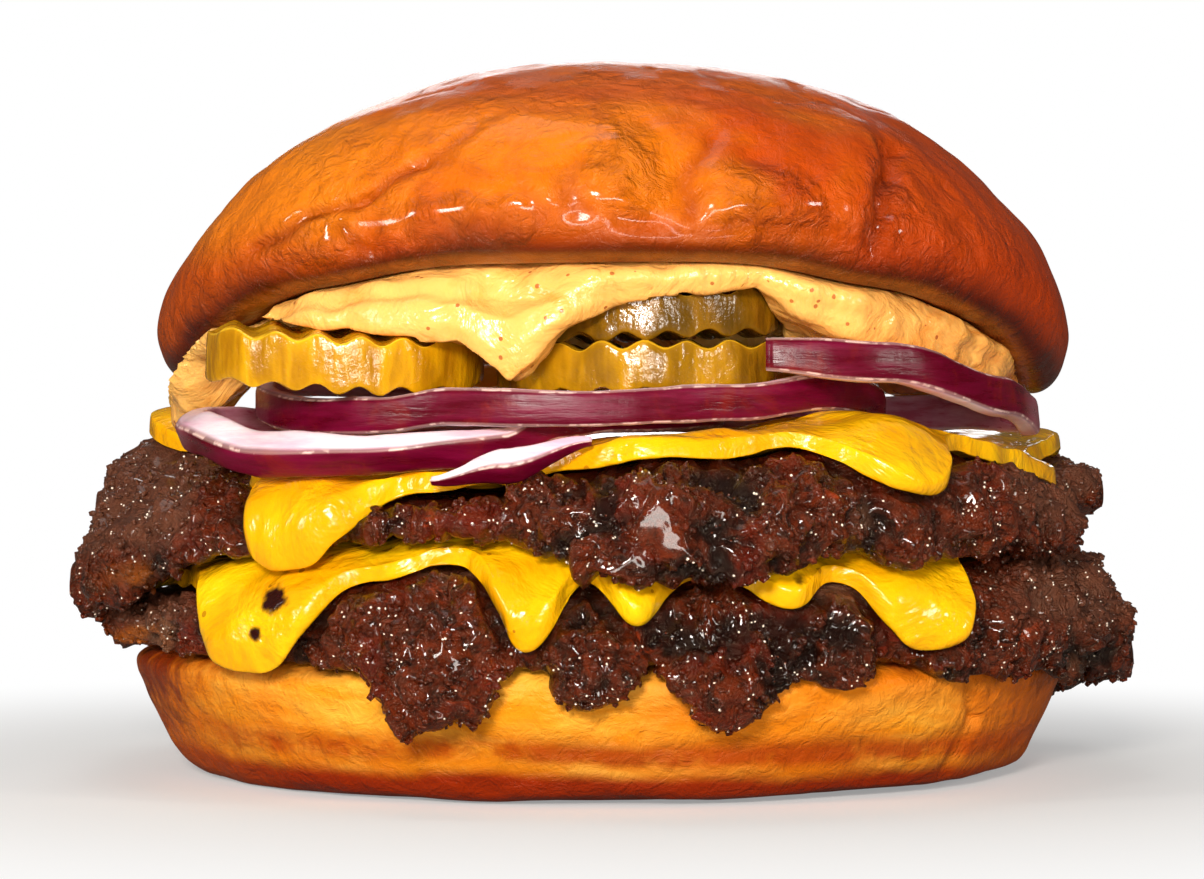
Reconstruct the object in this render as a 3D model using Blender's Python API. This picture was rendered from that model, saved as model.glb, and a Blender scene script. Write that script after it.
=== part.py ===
"""A double cheeseburger: brioche heel, two smashed patties, two slices of melted cheese,
three red onion rings and a strip, three crinkle-cut pickle slices, burger sauce and a brioche crown.

Origin: on the axis of the burger, at the flat base of the heel. +Z is up, -Y is the front.
Sizes are in millimetres here and are scaled to metres when a mesh is made.
Angles go round the axis in degrees: 0 is the front, 90 the right, -90 the left, 180 the back.
A profile is a list of (radius, height) pairs in the upright plane of one angle.
"""
import math

import bpy
import numpy as np
from mathutils import Euler, Vector, noise

MM = 0.001
GAP = 0.4
HEEL_GAP = 0.9
CHEESE_THICK = 2.0
CLOSE_STEP = 0.5
LAYER_ROOM = 1.35

# Angles at which the meat and the cheese are cut: closer together where the lobes are small
FRONT_STEP = 2.4
SIDE_STEP = 6.2
FRONT_HALF = 50.4


def layer_angles():
    """Angles of the meat and cheese profiles, fine at the front and wider elsewhere."""
    front = np.arange(-FRONT_HALF, FRONT_HALF + 0.1, FRONT_STEP)
    rest = 360.0 - 2 * FRONT_HALF
    count = int(round(rest / SIDE_STEP))
    back = FRONT_HALF + rest * np.arange(1, count) / count
    return [float(a) for a in np.concatenate([front, back])]


def even_angles(count):
    """Evenly spaced angles once round."""
    return [360.0 * i / count for i in range(count)]


def turn_from(degrees, centre):
    """Signed angle from centre to degrees, within half a turn."""
    return (degrees - centre + 180.0) % 360.0 - 180.0


def eased(keys, degrees):
    """Value at an angle, eased between the nearest of the (angle, value) keys."""
    for (a0, v0), (a1, v1) in zip(keys, keys[1:] + ((keys[0][0] + 360.0, keys[0][1]),)):
        span = a1 - a0
        along = (degrees - a0) % 360.0
        if along <= span:
            t = along / span
            t = t * t * (3.0 - 2.0 * t)
            return v0 + (v1 - v0) * t
    return keys[0][1]


def bump(degrees, centre, half_width):
    """Flat-topped bump: 1 at its centre, one half at half_width to either side."""
    d = abs(turn_from(degrees, centre)) / half_width
    return math.exp(-0.693 * d ** 4)


def shaped(base, features, degrees):
    """Eased base value with (angle, half width, amount) features added."""
    return eased(base, degrees) + sum(amount * bump(degrees, centre, half)
                                      for centre, half, amount in features)


def shoulder(start, end, square_out, square_down, steps):
    """Quarter of a superellipse from a level start, outwards and down to an upright end."""
    points = []
    for i in range(1, steps + 1):
        a = 0.5 * math.pi * i / steps
        r = start[0] + (end[0] - start[0]) * math.sin(a) ** (2.0 / square_out)
        z = end[1] + (start[1] - end[1]) * max(math.cos(a), 0.0) ** (2.0 / square_down)
        points.append((r, z))
    return points


def offset(profile, distance):
    """A profile moved outwards, square to itself."""
    p = np.array(profile, float)
    step = np.gradient(p, axis=0)
    length = np.maximum(np.hypot(step[:, 0], step[:, 1]), 1e-9)
    normal = np.stack([-step[:, 1] / length, step[:, 0] / length], axis=1)
    normal[0] = (0.0, 1.0)
    d = np.asarray(distance, float)
    return p + normal * (d[:, None] if d.ndim else d)


def resampled(profile, fractions):
    """Points at the given fractions of a profile's length."""
    p = np.array(profile, float)
    seg = np.hypot(*np.diff(p, axis=0).T)
    along = np.concatenate([[0.0], np.cumsum(seg)])
    at = np.array(fractions) * along[-1]
    return np.stack([np.interp(at, along, p[:, 0]), np.interp(at, along, p[:, 1])], axis=1)


def lengths(profile):
    """Distance along a profile to each of its points."""
    p = np.array(profile, float)
    return np.concatenate([[0.0], np.cumsum(np.hypot(*np.diff(p, axis=0).T))])


def length_at_height(profile, height):
    """Distance along a profile to where it first falls below a height."""
    along = lengths(profile)
    height = min(height, max(z for _, z in profile) - 0.5)
    for k in range(1, len(profile)):
        z0 = profile[k - 1][1]
        z1 = profile[k][1]
        if z1 <= height < z0:
            return float(along[k - 1] + (along[k] - along[k - 1]) * (z0 - height) / (z0 - z1))
    return float(along[-1])


def length_at_radius(profile, radius):
    """Distance along a profile to where it first reaches a radius, or its widest point."""
    along = lengths(profile)
    for k in range(1, len(profile)):
        r0 = profile[k - 1][0]
        r1 = profile[k][0]
        if r0 < radius <= r1:
            return float(along[k - 1] + (along[k] - along[k - 1]) * (radius - r0) / (r1 - r0))
    return float(along[int(np.argmax(np.array(profile)[:, 0]))])


def follow(profile, corners, stop):
    """The first corners of a profile and a last point at the stop length.

    Corners past the stop close up just before it, so every angle has as many points, and
    two layers that follow the same corners keep their gap.
    """
    p = np.array(profile, float)
    along = lengths(profile)
    at = [min(along[k], stop - CLOSE_STEP * (corners - k)) for k in range(corners)] + [stop]
    return np.stack([np.interp(at, along, p[:, 0]), np.interp(at, along, p[:, 1])], axis=1)


def height_at(profile, radius):
    """Height of a profile at a radius, or minus a metre beyond its widest point."""
    p = np.array(profile, float)
    widest = int(np.argmax(p[:, 0]))
    if radius > p[widest, 0]:
        return -1000.0
    return float(np.interp(radius, p[:widest + 1, 0], p[:widest + 1, 1]))


def place(degrees, radius, height):
    """Point of a profile in the burger's frame."""
    a = math.radians(degrees)
    return Vector((radius * math.sin(a), -radius * math.cos(a), height))


def crag(point, size, seed):
    """Smooth noise of about one lump for each size, between -1 and 1."""
    return noise.noise(point / size + Vector((seed, 1.7 * seed, -0.6 * seed)))


def material(name, colour, roughness, metallic=0.0):
    """Principled material with one colour."""
    mat = bpy.data.materials.new(name)
    mat.use_nodes = True
    shader = mat.node_tree.nodes["Principled BSDF"]
    shader.inputs["Base Color"].default_value = (*colour, 1.0)
    shader.inputs["Roughness"].default_value = roughness
    shader.inputs["Metallic"].default_value = metallic
    return mat


def add_object(name, points, faces, mat, smooth=55.0):
    """Mesh object from points in millimetres."""
    mesh = bpy.data.meshes.new(name)
    mesh.from_pydata([tuple(Vector(p) * MM) for p in points], [], faces)
    mesh.update()
    mesh.materials.append(mat)
    mesh.shade_smooth()
    mesh.set_sharp_from_angle(angle=math.radians(smooth))
    obj = bpy.data.objects.new(name, mesh)
    bpy.context.scene.collection.objects.link(obj)
    return obj


def round_solid(name, angles, rings, top, bottom, mat):
    """Closed solid from rings of points, with a point at its top and one at its bottom."""
    count = len(angles)
    points = [p for ring in rings for p in ring]
    faces = []
    for level in range(len(rings) - 1):
        upper = level * count
        lower = upper + count
        for i in range(count):
            j = (i + 1) % count
            faces.append((upper + i, lower + i, lower + j, upper + j))
    top_index = len(points)
    points.append(top)
    bottom_index = len(points)
    points.append(bottom)
    last = (len(rings) - 1) * count
    for i in range(count):
        j = (i + 1) % count
        faces.append((top_index, i, j))
        faces.append((bottom_index, last + j, last + i))
    return add_object(name, points, faces, mat)


def from_profiles(name, angles, profiles, mat):
    """Solid from one profile for each angle, each from the top centre to the bottom centre."""
    levels = len(profiles[0])
    rings = [[place(a, *profile[k]) for a, profile in zip(angles, profiles)]
             for k in range(1, levels - 1)]
    return round_solid(name, angles, rings, Vector((0, 0, profiles[0][0][1])),
                       Vector((0, 0, profiles[0][-1][1])), mat)


# Gap between a patty and its cheese: wider at the back, where the angles are further apart
LAYER_GAP = ((-180, 1.35), (-60, 1.2), (-25, 1.2), (0, 0.95), (60, 1.05))

# Flat sides round the bun and the sauce
BUN_SIDES = 56

# Heel of the bun
HEEL_BASE_RADIUS = 46.6
HEEL_BULGE_RADIUS = 53.8
HEEL_BULGE_HEIGHT = 12.4
HEEL_TOP = 15.0
HEEL_FLAT_RADIUS = 45.5
HEEL_SIDE_CURVE = 0.55
HEEL_BAND_HEIGHT = 5.8
HEEL_BAND_HALF = 2.4
HEEL_BAND_DEPTH = 0.55
HEEL_CREASE_ANGLE = 40.0
HEEL_CREASE_LEAN = 0.9
HEEL_CREASE_HALF = 2.6
HEEL_CREASE_DEPTH = 0.9
HEEL_WAVE = 0.35


def heel_profile(degrees):
    """Top, rounded corner and side of the heel, down to its flat base."""
    wave = HEEL_WAVE * math.sin(math.radians(3 * degrees + 40.0))
    bulge = (HEEL_BULGE_RADIUS + wave, HEEL_BULGE_HEIGHT)
    points = [(0.0, HEEL_TOP), (HEEL_FLAT_RADIUS, HEEL_TOP)]
    points += shoulder((HEEL_FLAT_RADIUS, HEEL_TOP), bulge, 2.0, 2.0, 4)
    for share in (0.75, 0.5, 0.3, 0.12, 0.0):
        z = HEEL_BULGE_HEIGHT * share
        r = HEEL_BASE_RADIUS + (bulge[0] - HEEL_BASE_RADIUS) * share ** HEEL_SIDE_CURVE
        band = math.exp(-((z - HEEL_BAND_HEIGHT) / HEEL_BAND_HALF) ** 2)
        band *= 0.6 + 0.4 * math.cos(math.radians(degrees + 20.0))
        lean = HEEL_CREASE_ANGLE + HEEL_CREASE_LEAN * (z - HEEL_BULGE_HEIGHT)
        crease = bump(degrees, lean, HEEL_CREASE_HALF) * min(1.0, z / 4.0)
        r -= HEEL_BAND_DEPTH * band + HEEL_CREASE_DEPTH * crease
        points.append((r, z))
    return points


def make_heel(mat):
    angles = even_angles(BUN_SIDES)
    profiles = [heel_profile(a) + [(0.0, 0.0)] for a in angles]
    return from_profiles("bun_bottom", angles, profiles, mat)


# Lower patty: (angle, value) keys round the burger, then (angle, half width, amount) lobes
LOWER_FLAT = ((-180, 43), (-120, 41), (-75, 37), (-30, 42), (30, 43), (60, 43), (84, 41), (130, 44))
LOWER_TOP_HEIGHT = 25.0
LOWER_TOP = ((-180, 25), (-120, 23), (-80, 20.5), (-45, 23.5), (-16, 26.2), (5, 25), (60, 25),
             (130, 25.5))
LOWER_REACH = ((-180, 56), (-150, 57), (-120, 56.5), (-92, 55), (-60, 54.9), (-40, 55.2),
               (-27, 55.6), (0, 54.9), (35, 55.2), (55, 57), (78, 60.2), (95, 60), (125, 57))
LOWER_LOW = ((-180, 15.4), (-120, 14.8), (-92, 15.4), (-40, 16.2), (-27, 15.6), (0, 16.0),
             (33, 15.8), (50, 13.4), (65, 12.2), (80, 10.4), (95, 10.6), (125, 14.4))
LOWER_LOBES = ((-17.8, 5.0, 1.0), (-1.3, 3.9, 0.72), (14.0, 5.2, 0.95), (25.2, 3.9, 0.45),
               (40.5, 3.0, 0.4), (112.0, 9.0, 0.7), (148.0, 10.0, 1.0), (-172.0, 10.0, 0.7),
               (-142.0, 10.0, 0.9))
LOBE_REACH = 4.2
LOBE_DROP = 7.0

# Upper patty
UPPER_FLAT = ((-180, 46), (-128, 47), (-109, 50), (-90, 38), (-32, 33), (-12, 38), (5, 49), (33, 44),
              (60, 42), (90, 42), (106, 49), (125, 47))
UPPER_TOP_HEIGHT = 33.6
UPPER_TOP = ((-180, 38.2), (-128, 38.0), (-109, 40.0), (-97, 35.8), (-88, 34.6), (-60, 33.4),
             (-34, 31.6),
             (-14, 31.7), (-3, 34.8), (5, 36.4), (18, 36.2), (33, 38.6), (48, 36.4), (75, 33.8),
             (92, 33.6), (106, 36.6), (124, 37.2), (140, 37.8))
UPPER_REACH = ((-180, 56), (-150, 57.5), (-128, 57), (-109, 61.2), (-88, 60), (-66, 59.4),
               (-50, 57.4), (-36, 54.8), (-12, 55.0), (5, 57.6), (25, 57.6), (45, 57.4),
               (64, 56.2), (80, 53.6), (90, 54.0), (106, 60.8), (124, 57), (150, 58))
UPPER_LOW = ((-180, 26), (-150, 22), (-124, 27), (-107, 31.8), (-97, 21.0), (-86, 15.0),
             (-74, 15.8), (-60, 21.5), (-44, 25.6), (-32, 27.8), (-12, 28.2), (8, 27.0),
             (25, 26.6), (45, 25.2), (64, 24.2), (85, 27.5), (106, 30.8), (125, 28), (150, 23))
UPPER_LOBES = ((8.0, 11.5, 1.0), (-5.6, 2.6, 0.3), (33.0, 6.0, 0.2), (60.0, 6.0, 0.2),
               (-160.0, 11.0, 0.7), (146.0, 10.0, 0.6))
UPPER_LOBE_REACH = 3.4
UPPER_LOBE_DROP = 3.6

CRAG_SIZE = 4.2
CRAG_DEPTH = 1.0
RIM_CRAG = 0.9

# Where each slice of cheese ends, as a height on the meat, and its drips
LOWER_CHEESE_END = ((-180, 22.5), (-120, 21.5), (-88, 19.0), (-60, 20.5), (-49, 22.0),
                    (-24, 22.3), (-17, 23.6), (0, 22.9), (30, 22.4), (50, 24.2), (92, 24.4),
                    (130, 22.0))
LOWER_CHEESE_DRIPS = ((-40.0, 8.2, -8.6), (-7.8, 3.3, -6.6), (3.6, 3.2, -4.0),
                      (20.0, 3.4, -2.4), (36.8, 6.0, -6.6), (130.0, 10.0, -4.5), (168.0, 9.0, -6.0),
                      (-120.0, 10.0, -3.5))
UPPER_CHEESE_END = ((-180, 35.4), (-128, 36.0), (-109, 38.6), (-97, 35.2), (-88, 34.2), (-60, 33.0),
                    (-46, 31.2), (-20, 30.8), (-12, 31.4), (-3, 34.4), (6, 35.8), (20, 35.4),
                    (48, 35.2), (62, 33.6), (76, 31.4), (92, 33.2), (106, 35.6), (130, 35.2))
UPPER_CHEESE_DRIPS = ((-35.0, 6.4, -6.6), (33.5, 6.4, -3.4), (122.0, 9.0, -4.0),
                      (170.0, 10.0, -6.0), (-138.0, 10.0, -4.0))


# Corners of a patty's top as shares of its length, and how late its middle rises
TOP_SHARES = (0.0, 0.64, 0.8, 0.89, 0.95, 1.0)
TOP_SWEEP = 8
HANG = 18.0
HEEL_CORNERS = 7


def patty_top(degrees, flat, centre_height, top, reach, low, lobes, lobe_reach, lobe_drop):
    """Top profile of a patty without crags, its lowest height and how far it is a lobe."""
    lobe = min(1.0, sum(amount * bump(degrees, centre, half)
                        for centre, half, amount in lobes))
    start_r = eased(flat, degrees)
    start_z = eased(top, degrees)
    rim_r = eased(reach, degrees) + lobe_reach * lobe
    low_z = eased(low, degrees) - lobe_drop * lobe
    rim_z = low_z + 0.36 * (start_z - low_z) * (1.0 - 0.45 * lobe)
    inner = [(start_r * s, centre_height + (start_z - centre_height) * s ** TOP_SWEEP)
             for s in (0.0, 0.35, 0.62, 0.82, 1.0)]
    curve = inner + shoulder((start_r, start_z), (rim_r, rim_z), 2.1, 2.0, 16)
    return resampled(curve, TOP_SHARES), low_z, lobe


def lower_top(degrees):
    return patty_top(degrees, LOWER_FLAT, LOWER_TOP_HEIGHT, LOWER_TOP, LOWER_REACH, LOWER_LOW,
                     LOWER_LOBES, LOBE_REACH, LOBE_DROP)


def upper_top(degrees):
    return patty_top(degrees, UPPER_FLAT, UPPER_TOP_HEIGHT, UPPER_TOP, UPPER_REACH, UPPER_LOW,
                     UPPER_LOBES, UPPER_LOBE_REACH, UPPER_LOBE_DROP)


def hanging(curve):
    """A top profile carried straight down past its rim, for what drapes over it."""
    r, z = curve[-1]
    return [tuple(point) for point in curve] + [(r, z - HANG)]


def patty_profile(degrees, surface, rest, corners, cheese_end, seed):
    """Closed profile of a patty that rests on a support profile."""
    top, low_z, lobe = surface
    rim_r, rim_z = top[-1]
    inside_r = min(rim_r - 2.4, float(np.max(rest[:, 0])) + 0.3)
    low_r = inside_r + 0.45 * (rim_r - inside_r)
    low_z = max(low_z, height_at(rest, low_r) + 0.1)
    out = []
    for k, (r, z) in enumerate(top):
        point = place(degrees, r, z)
        bare = min(1.0, max(0.0, (cheese_end - 1.2 - z) / 2.0))
        depth = crag(point, CRAG_SIZE, seed) * CRAG_DEPTH * bare
        if k == len(top) - 1:
            depth += RIM_CRAG * crag(point, 0.6 * CRAG_SIZE, seed + 5.0) * bare
        lean = k / (len(top) - 1)
        out.append((r + depth * lean, z + 0.4 * depth * lean))
    out.append((low_r + 0.78 * (out[-1][0] - low_r), low_z + 0.3 * (rim_z - low_z)))
    jag = abs(crag(place(degrees, low_r, low_z), 0.7 * CRAG_SIZE, seed + 9.0))
    out.append((low_r, low_z - 0.4 * jag * (0.4 + lobe)))
    inner = length_at_radius(rest, low_r - 0.9)
    if low_z + 0.5 < rest[1][1]:
        inner = min(inner, length_at_height(rest, low_z + 0.5))
    out.extend(tuple(point) for point in follow(rest, corners, inner)[::-1])
    return out


def make_patty(name, angles, tops, rests, corners, cheese_ends, seed, mat):
    count = len(angles)
    profiles = []
    for i in range(count):
        covered = min(cheese_ends[i - 1], cheese_ends[i], cheese_ends[(i + 1) % count])
        profiles.append(patty_profile(angles[i], tops[i], rests[i], corners, covered, seed))
    return from_profiles(name, angles, profiles, mat)


CHEESE_BEAD = 1.15
CHEESE_LIP = 0.45


def cheese_profile(top, end, drip, gap):
    """Closed profile of a slice that follows the corners of a patty's top down to a height."""
    bed = hanging(top)
    under = follow(bed, len(TOP_SHARES), length_at_height(bed, end))
    thick = CHEESE_THICK * (1.0 + 0.2 * drip)
    share = np.ones(len(under))
    share[-2] = CHEESE_BEAD
    share[-1] = CHEESE_LIP
    upper = offset(under, gap + thick * share)
    upper[-1, 1] -= 0.4 * thick
    lower = offset(under, gap)
    return [tuple(p) for p in upper] + [tuple(p) for p in lower[::-1]]


def make_cheese(name, angles, tops, ends, drips, mat):
    profiles = []
    for degrees, top, end in zip(angles, tops, ends):
        drip = min(1.0, sum(bump(degrees, centre, half) for centre, half, _ in drips))
        profiles.append(cheese_profile(top[0], end, drip, eased(LAYER_GAP, degrees)))
    return from_profiles(name, angles, profiles, mat)


# Onion rings: centre, radii and turn in plan, the arc that is there, then (angle, value) keys
# of the height of the band's middle and of its roll, in degrees, which leans its top outwards
RINGS = {
    "onion_ring_left": dict(
        centre=(-16.0, -22.5), radii=(28.6, 25.0), turn=22.0, arc=(-180, 180),
        width=2.8, height=3.7,
        wider=((-180, 1.0), (-130, 1.0), (-95, 1.5), (-58, 1.6), (-36, 1.1), (-16, 1.0)),
        middle=((-180, 39.9), (-152, 39.4), (-125, 39.3), (-90, 38.3), (-60, 36.1),
                (-38, 36.0), (-16, 36.5),
                (-8, 36.8), (4, 39.5), (18, 40.2), (62, 40.7), (100, 40.5), (150, 40.3)),
        roll=((-180, 0), (-120, -10), (-80, -36), (-30, -42), (-12, -24), (10, 0))),
    "onion_ring_long": dict(
        centre=(-3.5, -14.5), radii=(34.0, 35.0), turn=0.0, arc=(-180, 180),
        width=2.3, height=3.9,
        middle=((-180, 40.5), (-150, 42.6), (-128, 44.6), (-108, 44.6), (-98, 43.7), (-84, 41.6),
                (-50, 40.0), (-34, 40.1), (-20, 41.0), (0, 40.7), (30, 41.4), (52, 42.6),
                (90, 40.9), (140, 40.4)),
        roll=((-180, 0), (0, 0))),
    "onion_ring_right": dict(
        centre=(19.5, -9.5), radii=(28.5, 34.0), turn=0.0, arc=(-5, 190),
        width=2.4, height=4.3, tip=0.8,
        middle=((-180, 42.0), (-5, 46.4), (20, 45.6), (55, 42.2), (80, 40.2), (100, 40.6),
                (120, 40.95), (150, 40.8)),
        roll=((-180, 0), (0, 4), (60, 10), (110, 0))),
    "onion_strip": dict(
        centre=(-4.0, -30.0), radii=(34.0, 23.2), turn=0.0, arc=(-23, 5), taper=0.45,
        width=2.8, height=3.0,
        middle=((-180, 36.0), (-23, 33.4), (-10, 34.9), (5, 37.4)),
        roll=((-180, -50), (0, -50))),
}
RING_STEPS = 34
TIP_SCALE = 0.3
END_TAPER = 0.06


def band_section(width, height):
    """Outline of an onion band: a bowed skin outside, a hollowed flesh inside."""
    w = 0.5 * width
    h = 0.5 * height
    return [(w, -0.75 * h), (w, 0.75 * h), (0.6 * w, h), (-0.9 * w, h), (-0.9 * w, -h),
            (0.6 * w, -h)]


def ring_frame(size, degrees):
    """Middle, radial side and upward side of a ring's band at an angle of its own ellipse."""
    a = math.radians(degrees)
    rx, ry = size["radii"]
    turn = Euler((0.0, 0.0, math.radians(size["turn"]))).to_matrix()
    middle = turn @ Vector((rx * math.sin(a), -ry * math.cos(a), 0.0))
    outward = turn @ Vector((ry * math.sin(a), -rx * math.cos(a), 0.0)).normalized()
    middle += Vector((*size["centre"], eased(size["middle"], degrees)))
    roll = math.radians(eased(size["roll"], degrees))
    upward = Vector((0.0, 0.0, 1.0))
    side = outward * math.cos(roll) + upward * math.sin(roll)
    lift = upward * math.cos(roll) - outward * math.sin(roll)
    return middle, side, lift


def make_ring(name, size, mat, grow=0.0):
    """Band swept round an ellipse, rolled about its own path; an open arc has slimmer tips."""
    first, last = size["arc"]
    closed = last - first >= 360
    steps = max(12, int(RING_STEPS * (last - first) / 360.0))
    angles = [first + (last - first) * i / steps for i in range(steps if closed else steps + 1)]
    section = band_section(size["width"] + 2 * grow, size["height"] + 2 * grow)
    taper = size.get("taper", END_TAPER)
    points = []
    for i, degrees in enumerate(angles):
        middle, side, lift = ring_frame(size, degrees)
        wide = eased(size["wider"], degrees) if "wider" in size else 1.0
        tip = 1.0
        if not closed:
            least = size.get("tip", TIP_SCALE)
            tip = min(1.0, least + (1.0 - least) * min(i, steps - i) / steps / taper)
        points += [middle + side * (u * wide * tip) + lift * (v * tip) for u, v in section]
    sides = len(section)
    loops = len(angles)
    faces = []
    for i in range(loops if closed else loops - 1):
        j = (i + 1) % loops
        for k in range(sides):
            m = (k + 1) % sides
            faces.append((i * sides + k, j * sides + k, j * sides + m, i * sides + m))
    if not closed:
        faces.append(tuple(range(sides)))
        faces.append(tuple((loops - 1) * sides + k for k in reversed(range(sides))))
    return add_object(name, points, faces, mat, smooth=40.0)


# Pickle slices: centre, radius, thickness, tilt about X and Y and turn, in degrees
RIDGE_PITCH = 4.4
RIDGE_DEPTH = 0.45
RIDGE_STEPS = 4
PICKLES = {
    "pickle_left": dict(centre=(-27.4, -31.5, 46.5), radius=15.0, thick=5.2,
                        tilt=(5.0, 2.0), turn=6.0),
    "pickle_middle": dict(centre=(4.0, -30.5, 45.2), radius=15.2, thick=4.8,
                          tilt=(1.0, -1.0), turn=-3.0),
    "pickle_top": dict(centre=(4.6, -30.0, 50.9), radius=14.8, thick=4.4,
                       tilt=(1.0, -2.0), turn=4.0),
}
CUTTER_SIDES = 28


def pickle_mesh(radius, thick):
    """Crinkle-cut round slice, as sections square to its ridges."""
    count = int(round(2 * radius / RIDGE_PITCH * RIDGE_STEPS))
    points = []
    for i in range(count + 1):
        x = -radius * math.cos(math.pi * (0.05 + 0.9 * i / count))
        half = math.sqrt(radius * radius - x * x)
        wave = RIDGE_DEPTH * math.sin(2 * math.pi * x / RIDGE_PITCH)
        top = 0.5 * thick + wave
        base = -0.5 * thick + wave
        points += [(x, -half + 0.6, base), (x, half - 0.6, base), (x, half, 0.1 * thick),
                   (x, half - 0.6, top), (x, -half + 0.6, top), (x, -half, 0.1 * thick)]
    sides = 6
    faces = []
    for i in range(count):
        for k in range(sides):
            m = (k + 1) % sides
            faces.append((i * sides + k, i * sides + m, (i + 1) * sides + m,
                          (i + 1) * sides + k))
    faces.append(tuple(reversed(range(sides))))
    faces.append(tuple(count * sides + k for k in range(sides)))
    return points, faces


def disc_mesh(radius, thick):
    """Plain disc, for cutting a pickle's place in the sauce."""
    points = []
    for z in (0.5 * thick, -0.5 * thick):
        for i in range(CUTTER_SIDES):
            a = 2 * math.pi * i / CUTTER_SIDES
            points.append((radius * math.cos(a), radius * math.sin(a), z))
    faces = [tuple(range(CUTTER_SIDES)), tuple(reversed(range(CUTTER_SIDES, 2 * CUTTER_SIDES)))]
    for i in range(CUTTER_SIDES):
        j = (i + 1) % CUTTER_SIDES
        faces.append((i, CUTTER_SIDES + i, CUTTER_SIDES + j, j))
    return points, faces


def place_pickle(points, size):
    """Slice turned, tilted and moved to its place."""
    tilt_x, tilt_y = size["tilt"]
    turn = Euler((math.radians(tilt_x), math.radians(tilt_y), math.radians(size["turn"])))
    matrix = turn.to_matrix()
    centre = Vector(size["centre"])
    return [matrix @ Vector(p) + centre for p in points]


def make_pickle(name, size, mat):
    points, faces = pickle_mesh(size["radius"], size["thick"])
    return add_object(name, place_pickle(points, size), faces, mat, smooth=50.0)


# Crown of the bun
CROWN_TOP = 80.4
CROWN_CENTRE_X = 1.2
CROWN_REACH = ((-180, 52.5), (-90, 52.8), (-30, 50.6), (0, 50.2), (30, 50.8), (90, 52.8))
CROWN_RIM = ((-180, 48.0), (-120, 46.0), (-88, 43.8), (-77, 44.6), (-66, 48.6), (-56, 51.2),
             (-45, 53.2), (-20, 55.4), (15, 55.6), (38, 53.2), (60, 49.8), (72, 45.6),
             (86, 42.4), (120, 45.5))
CROWN_LIP_RISE = 5.6
CROWN_LIP_TUCK = 3.6
CROWN_SQUARE_OUT = 1.65
CROWN_SQUARE_UP = ((-180, 2.5), (-90, 2.0), (0, 2.8), (90, 2.45))
CROWN_UNDER_RISE = 1.6
CROWN_UNDER_CENTRE = 56.4
UNDER_RADII = (0.0, 0.5, 0.82)
CROWN_LIP_STEP = 2.2


# Folds of the crown's front, as lines in X and Z: both ends, half width and depth
CROWN_FOLDS = (
    (-33.0, 57.0, -23.0, 61.5, 2.2, 1.1),
    (-23.0, 61.5, -14.0, 67.5, 2.0, 0.9),
    (-2.0, 58.5, -2.2, 65.0, 1.8, 0.7),
    (9.8, 58.5, 10.2, 65.0, 1.8, 0.8),
    (28.0, 57.5, 30.5, 66.0, 1.8, 1.5),
    (-1.0, 58.6, 21.0, 58.0, 1.6, 0.6),
    (5.0, 62.5, 7.0, 62.5, 3.2, 0.8),
)
CROWN_WAVE = 0.5


def crown_dent(degrees, radius, height):
    """Depth of the folds and dimples of the crown at a place on its dome."""
    x, y, _ = place(degrees, radius, height)
    depth = 0.0
    if y < 0.0:
        for x0, z0, x1, z1, half, deep in CROWN_FOLDS:
            ax = x1 - x0
            az = z1 - z0
            t = ((x - x0) * ax + (height - z0) * az) / (ax * ax + az * az)
            near = min(1.0, max(0.0, t))
            d = math.hypot(x - x0 - ax * near, height - z0 - az * near)
            depth += deep * math.exp(-(d / half) ** 2)
    return depth


def crown_profile(degrees):
    """Dome, rounded lip and toasted underside of the crown."""
    reach = eased(CROWN_REACH, degrees)
    rim = eased(CROWN_RIM, degrees)
    side_z = rim + CROWN_LIP_RISE
    square = eased(CROWN_SQUARE_UP, degrees)
    points = [(0.0, CROWN_TOP)]
    for a in (16, 30, 42, 52, 61, 69, 76, 83, 90):
        turn = math.radians(a)
        r = reach * math.sin(turn) ** (2.0 / square)
        z = side_z + (CROWN_TOP - side_z) * max(math.cos(turn), 0.0) ** (2.0 / CROWN_SQUARE_OUT)
        dent = crown_dent(degrees, r, z)
        wave = CROWN_WAVE * crag(place(degrees, r, z), 17.0, 3.0)
        points.append((r - (dent + wave) * math.sin(turn), z - (dent + wave) * math.cos(turn)))
    for a in (45, 90):
        turn = math.radians(a)
        points.append((reach - CROWN_LIP_TUCK * (1.0 - math.cos(turn)),
                       side_z - CROWN_LIP_RISE * math.sin(turn)))
    return points + crown_ceiling(degrees)


def crown_ceiling(degrees):
    """The crown's cut face, from just inside its lip to the axis."""
    inner_r = eased(CROWN_REACH, degrees) - CROWN_LIP_TUCK
    edge = eased(CROWN_RIM, degrees) + CROWN_UNDER_RISE
    points = [(inner_r - CROWN_LIP_STEP, edge - 0.6 * CROWN_UNDER_RISE)]
    for share in reversed(UNDER_RADII):
        points.append((share * inner_r,
                       CROWN_UNDER_CENTRE + (edge - CROWN_UNDER_CENTRE) * share * share))
    return points


def make_crown(mat):
    angles = even_angles(BUN_SIDES)
    obj = from_profiles("bun_top", angles, [crown_profile(a) for a in angles], mat)
    return shifted(obj)


def shifted(obj):
    """Crown and sauce sit a little to the right of the axis."""
    for v in obj.data.vertices:
        v.co.x += CROWN_CENTRE_X * MM
    return obj


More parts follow.
